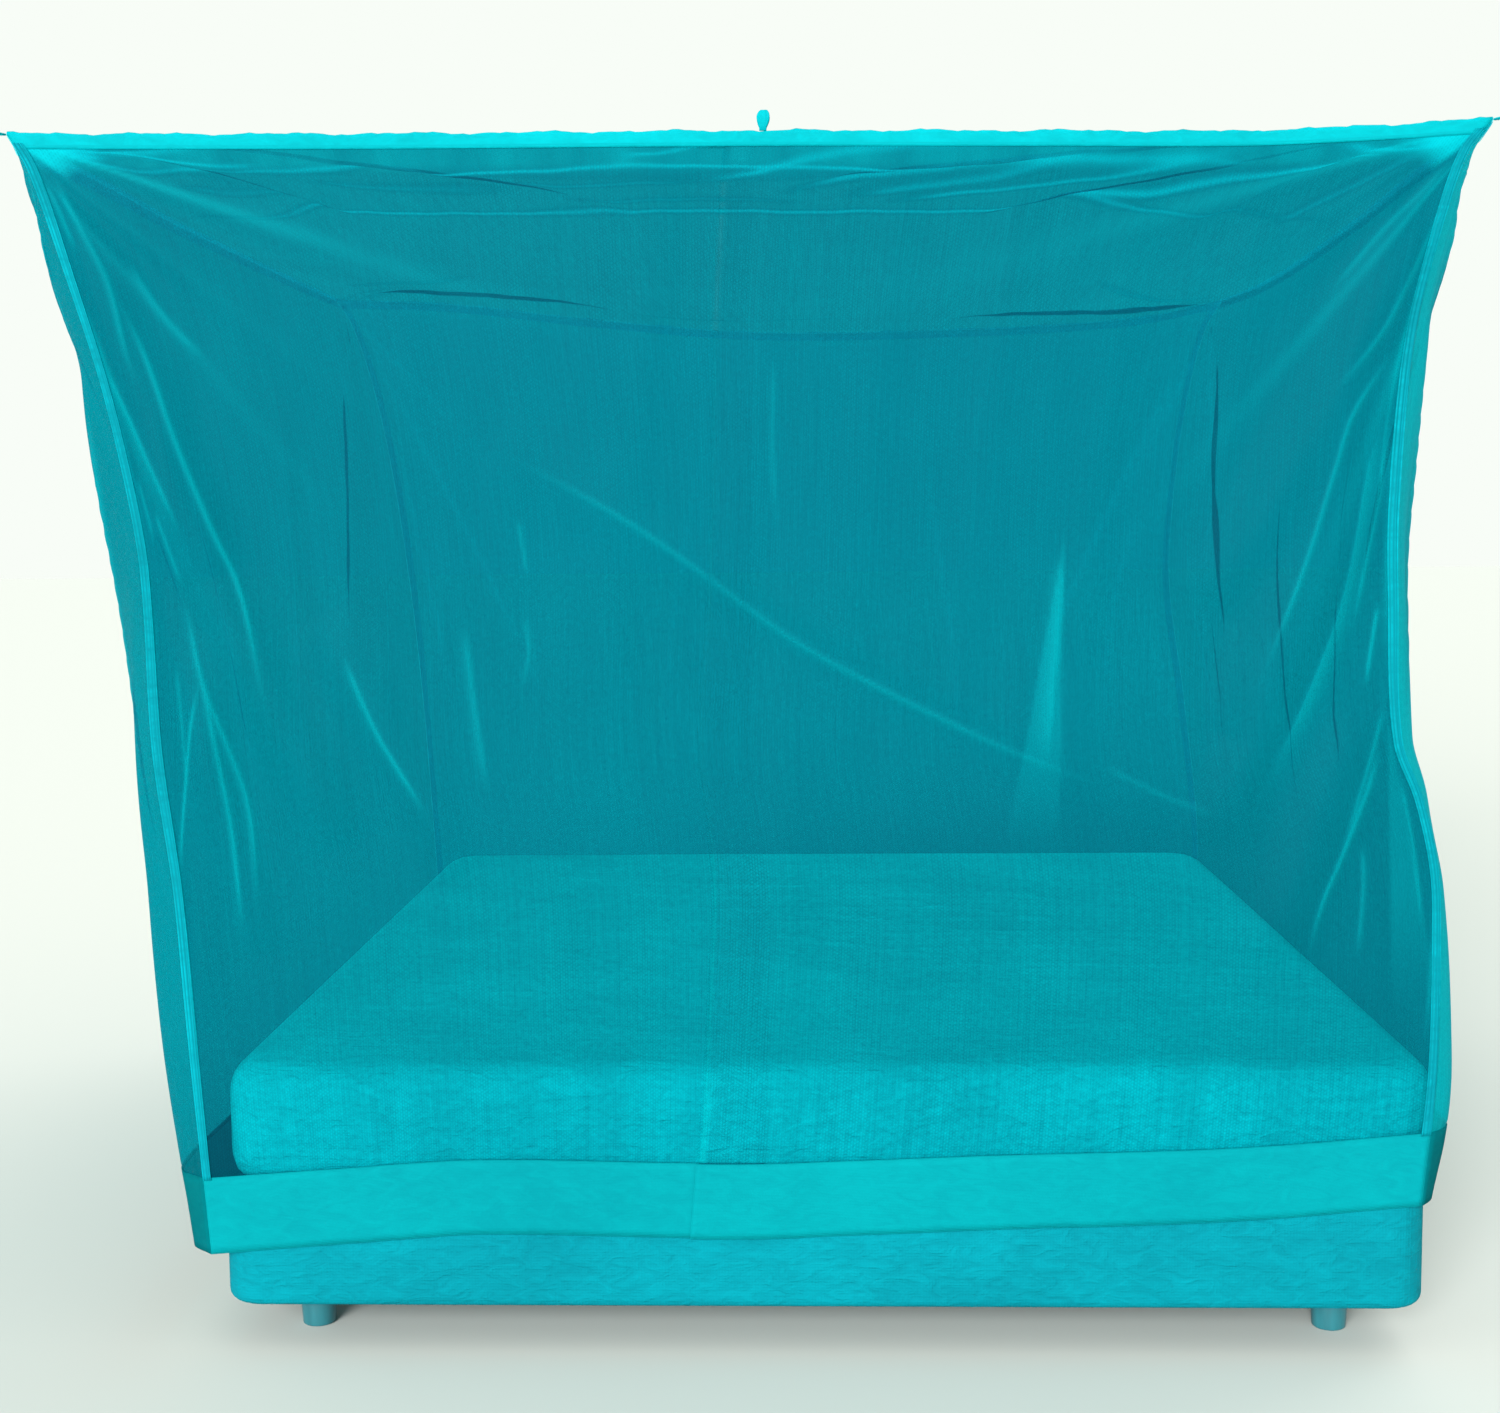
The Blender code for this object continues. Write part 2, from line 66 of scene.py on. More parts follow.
def setCamera():
    ahead, right = Vector(photoCamera["ahead"]), Vector(photoCamera["right"])
    up = right.cross(ahead)
    data = bpy.data.cameras.new("photoCamera")
    data.sensor_fit = "HORIZONTAL"
    data.sensor_width = photoCamera["sensor"]
    data.lens = photoCamera["sensor"] * photoCamera["focalPixels"] / photoCamera["imageWidth"]
    made = bpy.data.objects.new("photoCamera", data)
    bpy.context.scene.collection.objects.link(made)
    turn = Matrix((right, up, -ahead)).transposed().to_4x4()
    made.matrix_world = Matrix.Translation(photoCamera["place"]) @ turn
    bpy.context.scene.camera = made


setCamera()


def colour(code):
    # Linear red, green, blue and 1 from an sRGB hex code.
    channels = [int(code[k:k + 2], 16) / 255 for k in (1, 3, 5)]
    return [((c + 0.055) / 1.055) ** 2.4 if c > 0.04045 else c / 12.92 for c in channels] + [1]


def addNode(tree, kind, links=None, **settings):
    # A node with its settings. Its links are sockets, nodes, whose first live output is taken, or values.
    made = tree.nodes.new("ShaderNode" + kind)
    for name, value in settings.items():
        setattr(made, name, value)
    for name, value in (links or {}).items():
        if isinstance(value, bpy.types.Node):
            value = next(socket for socket in value.outputs if socket.enabled)
        if isinstance(value, bpy.types.NodeSocket):
            tree.links.new(value, made.inputs[name])
        else:
            made.inputs[name].default_value = value
    return made


def newMaterial(name):
    made = bpy.data.materials.new(name)
    made.use_nodes = True
    made.node_tree.nodes.clear()
    return made, made.node_tree


# the netting: knitted polyester, dyed through, so what shows behind it is tinted too
netFinish = {
    "yarn": "#004A5C",  # a single layer's thread
    "foldHighlightYarn": "#04F2FA",  # where the net lies double or is gathered, drawn much lighter than the yarn: a painted highlight on its denser cloth
    "tint": "#26DFEA",  # what the open mesh lets through
    "openTint": "#E4FFFF",  # and where it is pulled open
    "openGain": -1.2,
    "glow": 0.32,  # share of the light on the yarn that comes out on its other side
    "foldGlow": 0.42,
    "yarns": ((90, 1), (31, 0.8), (149, 0.8)),  # upright wales and two slanting yarns: degrees, strength
    "pitch": 0.0046,  # the real mesh is 1.3 mm, drawn coarser so that it shows
    "thread": (0.0014, 0.0003),  # half widths of a drawn thread's soft edge and its core
    "cover": 0.35,  # share of the net that is thread, between the drawn threads
    "meshCover": 0.16,
    "foldCover": 0.46,
    "streakCover": 0.24,
    "grainCover": 0.36,
    "cloudCover": 0.2,
}


def nettingMaterial():
    made, tree = newMaterial("knittedPolyesterNetting")
    uv = addNode(tree, "TexCoord").outputs["UV"]
    place = addNode(tree, "TexCoord").outputs["Object"]
    # how folded each place is, which also carries the painted highlight and painted light drawn into it
    foldAndPaintedLight = addNode(tree, "Attribute", attribute_name="foldAndPaintedLight").outputs["Fac"]
    opened = addNode(tree, "Attribute", attribute_name="open").outputs["Fac"]
    drawn = addNode(tree, "Math", {0: foldAndPaintedLight, 1: opened}, operation="SUBTRACT")
    edge, core = netFinish["thread"]
    threads = None
    for angle, strength in netFinish["yarns"]:
        direction = (math.sin(math.radians(angle)), math.cos(math.radians(angle)), 0)
        across = addNode(tree, "VectorMath", {0: uv, 1: direction}, operation="DOT_PRODUCT")
        off = addNode(tree, "Math", {0: across, 1: netFinish["pitch"] / 2}, operation="PINGPONG")
        line = addNode(tree, "MapRange", {
            "Value": off, "From Min": edge, "From Max": core, "To Max": strength,
        }, interpolation_type="SMOOTHSTEP")
        if threads is None:
            threads = line
        else:
            threads = addNode(tree, "Math", {0: threads, 1: line}, operation="MAXIMUM")
    wales = addNode(tree, "Mapping", {"Vector": uv, "Scale": (170, 3.2, 1)})
    streak = addNode(tree, "TexNoise", {"Vector": wales, "Scale": 1, "Detail": 3})
    grain = addNode(tree, "TexNoise", {"Vector": uv, "Scale": 120, "Detail": 3, "Roughness": 0.7})
    cloud = addNode(tree, "TexNoise", {"Vector": place, "Scale": 2.6, "Detail": 4, "Roughness": 0.6})
    cover = addNode(tree, "Math", {
        0: threads, 1: netFinish["meshCover"], 2: netFinish["cover"]}, operation="MULTIPLY_ADD")
    for source, share in ((streak, "streakCover"), (grain, "grainCover"), (cloud, "cloudCover")):
        centred = addNode(tree, "Math", {0: source, 1: 0.5}, operation="SUBTRACT")
        cover = addNode(tree, "Math", {0: centred, 1: netFinish[share], 2: cover}, operation="MULTIPLY_ADD")
    cover = addNode(tree, "Math", {
        0: drawn, 1: netFinish["foldCover"], 2: cover}, operation="MULTIPLY_ADD", use_clamp=True)
    # folds take the much lighter folded yarn colour, a painted highlight; their extra cover is the real
    # double cloth
    tone = addNode(tree, "Mix", {
        "Factor": foldAndPaintedLight, "A": colour(netFinish["yarn"]), "B": colour(netFinish["foldHighlightYarn"]),
    }, data_type="RGBA")
    bump = addNode(tree, "Bump", {"Height": threads, "Strength": 0.25, "Distance": 0.0004})
    cloth = addNode(tree, "BsdfPrincipled", {
        "Base Color": tone, "Roughness": 0.6, "Specular IOR Level": 0.03, "Sheen Weight": 0.04,
        "Sheen Roughness": 0.4, "Sheen Tint": colour("#18D0DC"), "Normal": bump})
    glow = addNode(tree, "BsdfTranslucent", {"Color": tone})
    share = addNode(tree, "Math", {
        0: foldAndPaintedLight, 1: netFinish["foldGlow"], 2: netFinish["glow"]}, operation="MULTIPLY_ADD", use_clamp=True)
    body = addNode(tree, "MixShader", {0: share, 1: cloth, 2: glow})
    clear = addNode(tree, "Math", {0: drawn, 1: netFinish["openGain"]}, operation="MULTIPLY", use_clamp=True)
    seen = addNode(tree, "Mix", {
        "Factor": clear, "A": colour(netFinish["tint"]), "B": colour(netFinish["openTint"]),
    }, data_type="RGBA")
    mesh = addNode(tree, "BsdfTransparent", {"Color": seen})
    mixed = addNode(tree, "MixShader", {0: cover, 1: mesh, 2: body})
    addNode(tree, "OutputMaterial", {"Surface": mixed})
    return made


# woven cloths, scaled by their thread spacing, which is drawn coarser where it would not show
wovenFinishes = {
    # common name, main, shade, thread spacing, crinkle, roughness, sheen, share of light let through,
    # share of the cloth that is thread. The darker shade colour falls in random patches and in the
    # crinkles' hollows, where it is painted shade.
    "binding": ("foldedCottonTape", "#02CAD2", "#02B8C1", 0.0016, 0.25, 0.62, 0.05, 0.55, 1),
    # painted light: the same tape drawn lighter and more see-through for the bindings and tapes seen from
    # inside, so that their unlit side reads as light as the netting
    "sheerBindingPaintedLight": ("sheerCottonTapePaintedLight", "#02EEF6", "#02E2EC", 0.0016, 0.25, 0.62, 0.05, 0.75, 0.6),
    # the tape's darker shade colour also lies along its gathers as painted shade
    "tape": ("gatheredCottonTape", "#02B2C0", "#018C9A", 0.0016, 0.3, 0.62, 0.05, 0.45, 1),
    "border": ("plainWovenCotton", "#009299", "#00868F", 0.0024, 0.3, 0.8, 0.03, 0.3, 1),
    # painted light: the same border cloth drawn lighter and letting more light through, so that its shaded
    # inner side, seen past the bed, reads lighter
    "sideBorder": ("plainWovenCottonPaintedLight", "#0099A0", "#008D96", 0.0024, 0.3, 0.8, 0.03, 0.7, 1),
    "mattress": ("crinkledCottonCover", "#0AFBF0", "#06E2DA", 0.004, 1.8, 0.85, 0.05, 0, 1),
    "base": ("stretchedCottonCover", "#007783", "#006874", 0.0045, 1.4, 0.85, 0.03, 0, 1),
}

# where rows of stitches and gathers run, drawn in the darker shade colour: stitches as dark joints,
# the tape's gathers as painted shade in their folds. The axis across them, the place on it and their
# half width, in metres of flat cloth
bindingSeams = (((0, 1, 0), 0.0042, 0.0016), ((0, 1, 0), 0.03, 0.0016))
stitchAndGatherShadeRows = {
    "binding": bindingSeams,
    "sheerBindingPaintedLight": bindingSeams,
    "tape": (((1, 0, 0), 0.0036, 0.002), ((1, 0, 0), 0.0104, 0.003), ((1, 0, 0), 0.0148, 0.002)),
}


def wovenMaterial(kind):
    name, main, shade, spacing, crinkle, roughness, sheen, through, cover = wovenFinishes[kind]
    made, tree = newMaterial(name)
    place = addNode(tree, "TexCoord").outputs["Object"]
    flat = addNode(tree, "TexCoord").outputs["UV"] if through else place
    weave = None
    for axis in ((1, 0, 0), (0, 1, 0), (0, 0, 1))[:2 if through else 3]:
        run = addNode(tree, "VectorMath", {0: flat, 1: axis}, operation="DOT_PRODUCT")
        wave = addNode(tree, "Math", {0: run, 1: 2 * math.pi / spacing}, operation="MULTIPLY")
        wave = addNode(tree, "Math", {0: wave}, operation="SINE")
        weave = wave if weave is None else addNode(tree, "Math", {0: weave, 1: wave})
    stretched = addNode(tree, "Mapping", {"Vector": place, "Scale": (0.55, 1, 1.3)})
    crinkles = addNode(tree, "TexNoise", {
        "Vector": stretched, "Scale": 42, "Detail": 5, "Roughness": 0.6, "Distortion": 1.4})
    patch = addNode(tree, "TexNoise", {"Vector": place, "Scale": 3.6, "Detail": 3})
    blend = addNode(tree, "Math", {0: crinkles, 1: patch})
    blend = addNode(tree, "MapRange", {"Value": blend, "From Min": 0.75, "From Max": 1.25})
    # darker lines: the stitches, and on the tape painted shade along its gathers
    for axis, at, halfWidth in stitchAndGatherShadeRows.get(kind, ()):
        run = addNode(tree, "VectorMath", {0: flat, 1: axis}, operation="DOT_PRODUCT")
        off = addNode(tree, "Math", {0: run, 1: at}, operation="SUBTRACT")
        off = addNode(tree, "Math", {0: off}, operation="ABSOLUTE")
        seam = addNode(tree, "MapRange", {"Value": off, "From Min": 0.0005, "From Max": halfWidth})
        blend = addNode(tree, "Math", {0: blend, 1: seam}, operation="MULTIPLY")
    # the shade colour goes where the crinkles are low, painted shade in their hollows, and in random patches
    tone = addNode(tree, "Mix", {"Factor": blend, "A": colour(shade), "B": colour(main)}, data_type="RGBA")
    crinkled = addNode(tree, "Bump", {"Height": crinkles, "Strength": 0.6 * crinkle, "Distance": 0.005})
    woven = addNode(tree, "Bump", {"Height": weave, "Strength": 0.35, "Distance": 0.0003, "Normal": crinkled})
    surface = addNode(tree, "BsdfPrincipled", {
        "Base Color": tone, "Roughness": roughness, "Specular IOR Level": 0.04, "Sheen Weight": sheen,
        "Sheen Roughness": 0.5, "Sheen Tint": colour("#18D8E0"), "Normal": woven})
    if through:
        glow = addNode(tree, "BsdfTranslucent", {"Color": tone})
        surface = addNode(tree, "MixShader", {0: through, 1: surface, 2: glow})
    if cover < 1:
        mesh = addNode(tree, "BsdfTransparent", {"Color": colour("#B4F8FF")})
        surface = addNode(tree, "MixShader", {0: cover, 1: mesh, 2: surface})
    addNode(tree, "OutputMaterial", {"Surface": surface})
    return made


def paintedWoodMaterial():
    # turned beech under a satin paint, with its grain just showing
    made, tree = newMaterial("paintedTurnedWood")
    place = addNode(tree, "TexCoord").outputs["Object"]
    stretched = addNode(tree, "Mapping", {"Vector": place, "Scale": (60, 60, 9)})
    grain = addNode(tree, "TexNoise", {"Vector": stretched, "Scale": 1, "Detail": 5})
    tone = addNode(tree, "Mix", {
        "Factor": grain, "A": colour("#144A52"), "B": colour("#23727B")}, data_type="RGBA")
    bump = addNode(tree, "Bump", {"Height": grain, "Strength": 0.3, "Distance": 0.0006})
    wood = addNode(tree, "BsdfPrincipled", {"Base Color": tone, "Roughness": 0.42, "Normal": bump})
    addNode(tree, "OutputMaterial", {"Surface": wood})
    return made


materials = {kind: wovenMaterial(kind) for kind in wovenFinishes}
materials["netting"] = nettingMaterial()
materials["feet"] = paintedWoodMaterial()
print("materials made:", ", ".join(m.name for m in materials.values()))

# The shape in which the net hangs, as the frame has it. Corners from the hem up: z, x, y.
corners = {
    "frontLeft": (
        (0.153, -0.826, -0.998), (0.44, -0.845, -1.002), (0.7, -0.857, -1.012),
        (0.924, -0.878, -1.024), (1.205, -0.882, -1.038), (1.432, -0.917, -1.052),
        (1.607, -0.963, -1.06), (1.752, -1.008, -1.068), (1.8, -1.034, -1.072),
    ),
    "frontRight": (
        (0.232, 0.985, -0.998), (0.43, 1.001, -1.003), (0.64, 1, -1.008),
        (0.739, 0.993, -1.013), (0.842, 0.968, -1.018), (0.93, 0.934, -1.024),
        (1.131, 0.921, -1.035), (1.272, 0.917, -1.043), (1.507, 0.932, -1.055),
        (1.682, 0.972, -1.064), (1.751, 0.996, -1.068), (1.788, 1.024, -1.072),
    ),
    "rearRight": (
        (0.205, 1.012, 0.992), (0.44, 1.03, 1), (0.8, 0.995, 1.016), (1.1, 0.958, 1.032),
        (1.38, 0.978, 1.048), (1.58, 1.012, 1.058), (1.71, 1.05, 1.066), (1.765, 1.085, 1.072),
    ),
    "rearLeft": (
        (0.185, -0.845, 0.992), (0.44, -0.86, 1), (0.8, -0.884, 1.016), (1.1, -0.914, 1.032),
        (1.4, -0.958, 1.048), (1.6, -1.002, 1.058), (1.74, -1.05, 1.066), (1.795, -1.085, 1.072),
    ),
}

# Walls from one corner to the next. top and hem: share along, z. belly: share along, share of the
# swing. swing: share of the drop, metres. folds: along0, z0, along1, z1, half width, rise.
walls = {
    "front": {
        "corners": ("frontLeft", "frontRight"),
        "out": (0, -1),
        "top": (
            (0, 1.8), (0.06, 1.797), (0.25, 1.791), (0.5, 1.787), (0.72, 1.78), (0.84, 1.776), (0.93, 1.781),
            (1, 1.788),
        ),
        "hem": (
            (0, 0.153), (0.11, 0.17), (0.23, 0.186), (0.45, 0.181), (0.66, 0.196), (0.84, 0.208), (1, 0.232),
        ),
        "belly": ((0, 0), (0.12, 0.8), (0.3, 1), (0.5, 0.7), (0.72, 1), (0.9, 0.7), (1, 0)),
        "swing": ((0, 0), (0.2, 0.006), (0.5, 0.012), (0.72, 0.01), (0.86, 0.004), (1, 0.0025)),
        "folds": (
            (-0.97, 1.72, -0.76, 1.18, 0.045, 0.024),
            (-0.88, 1.4, -0.6, 0.78, 0.045, 0.02),
            (-0.86, 1.2, -0.72, 0.62, 0.035, 0.017),
            (-0.78, 1.1, -0.84, 0.5, 0.04, 0.011),
            (-0.62, 1.12, -0.42, 0.74, 0.04, 0.012),
            (-0.36, 1.37, 0.62, 0.82, 0.05, 0.014),
            (0.94, 1.66, 0.66, 1.12, 0.045, 0.024),
            (0.88, 1.46, 0.68, 0.94, 0.04, 0.019),
            (0.88, 1.32, 0.66, 0.78, 0.04, 0.02),
            (0.87, 0.98, 0.75, 0.6, 0.045, 0.02),
        ),
    },
    "right": {
        "corners": ("frontRight", "rearRight"),
        "out": (1, 0),
        "top": ((0, 1.788), (0.16, 1.785), (0.37, 1.764), (0.7, 1.748), (1, 1.765)),
        "hem": ((0, 0.232), (0.05, 0.226), (0.5, 0.214), (1, 0.205)),
        "belly": (
            (0, 0), (0.015, 0.62), (0.03, 0.92), (0.07, 1), (0.3, 0.9), (0.7, 0.7), (0.9, 0.5), (1, 0),
        ),
        "swing": (
            (0, 0.012), (0.05, 0.028), (0.15, 0.033), (0.26, 0.027), (0.4, 0.027), (0.5, 0.035),
            (0.57, 0.031), (0.64, 0.018), (0.69, 0.023), (0.75, 0.031), (0.83, 0.037), (0.92, 0.045),
            (1, 0.033),
        ),
        "folds": (
            (-0.98, 1.7, -0.55, 1.05, 0.055, 0.03),
            (-0.99, 1.55, -0.78, 0.75, 0.05, 0.024),
            (-0.6, 1.5, -0.3, 0.7, 0.06, 0.021),
            (-0.05, 1.4, 0.05, 0.55, 0.06, 0.018),
            (0.98, 1.68, 0.5, 0.95, 0.06, 0.03),
            (0.7, 1.3, 0.72, 0.5, 0.06, 0.018),
        ),
    },
    "back": {
        "corners": ("rearRight", "rearLeft"),
        "out": (0, 1),
        "top": (
            (0, 1.765), (0.1, 1.726), (0.28, 1.706), (0.52, 1.704), (0.7, 1.738), (0.88, 1.784), (1, 1.795),
        ),
        "hem": ((0, 0.205), (0.5, 0.193), (1, 0.185)),
        "belly": ((0, 0), (0.15, 0.8), (0.5, 1), (0.85, 0.8), (1, 0)),
        "swing": ((0, 0), (0.3, 0.012), (0.7, 0.02), (1, 0.014)),
        "folds": (
            (0.98, 1.6, 0.6, 0.8, 0.06, 0.024),
            (0.38, 1.45, 0.46, 0.5, 0.06, 0.018),
            (-0.2, 1.5, -0.3, 0.5, 0.06, 0.015),
            (-0.98, 1.66, -0.55, 0.8, 0.06, 0.024),
        ),
    },
    "left": {
        "corners": ("rearLeft", "frontLeft"),
        "out": (-1, 0),
        "top": ((0, 1.795), (0.6, 1.795), (0.84, 1.806), (1, 1.8)),
        "hem": ((0, 0.185), (0.5, 0.16), (0.94, 0.138), (1, 0.153)),
        "belly": ((0, 0), (0.12, 0.3), (0.5, 0.55), (0.8, 0.85), (0.93, 1), (0.97, 0.72), (1, 0)),
        "swing": (
            (0, 0.018), (0.03, 0.04), (0.1, 0.051), (0.18, 0.058), (0.3, 0.061), (0.5, 0.059), (0.62, 0.074),
            (0.72, 0.081), (0.85, 0.076), (1, 0.061),
        ),
        "folds": (
            (-0.97, 1.7, -0.5, 1, 0.055, 0.03),
            (-0.98, 1.5, -0.72, 0.6, 0.05, 0.027),
            (-0.55, 1.45, -0.2, 0.7, 0.06, 0.021),
            (0.1, 1.4, 0.02, 0.55, 0.06, 0.018),
            (0.97, 1.68, 0.45, 0.95, 0.06, 0.03),
        ),
    },
}

roof = {
    "sag": 0.045,
    "folds": (
        (-0.97, -1.02, -0.1, -0.93, 0.035, 0.015),
        (-0.97, -0.98, -0.2, -0.62, 0.045, 0.021),
        (-0.98, -0.92, -0.55, -0.1, 0.05, 0.018),
        (0.96, -1.02, 0, -0.95, 0.035, 0.018),
        (0.96, -1, 0.05, -0.76, 0.04, 0.024),
        (0.96, -0.96, 0.25, -0.45, 0.045, 0.021),
        (0.97, -0.92, 0.62, -0.05, 0.05, 0.018),
        (-1, 1, -0.35, 0.45, 0.06, 0.018),
        (1, 1, 0.4, 0.5, 0.06, 0.018),
    ),
}

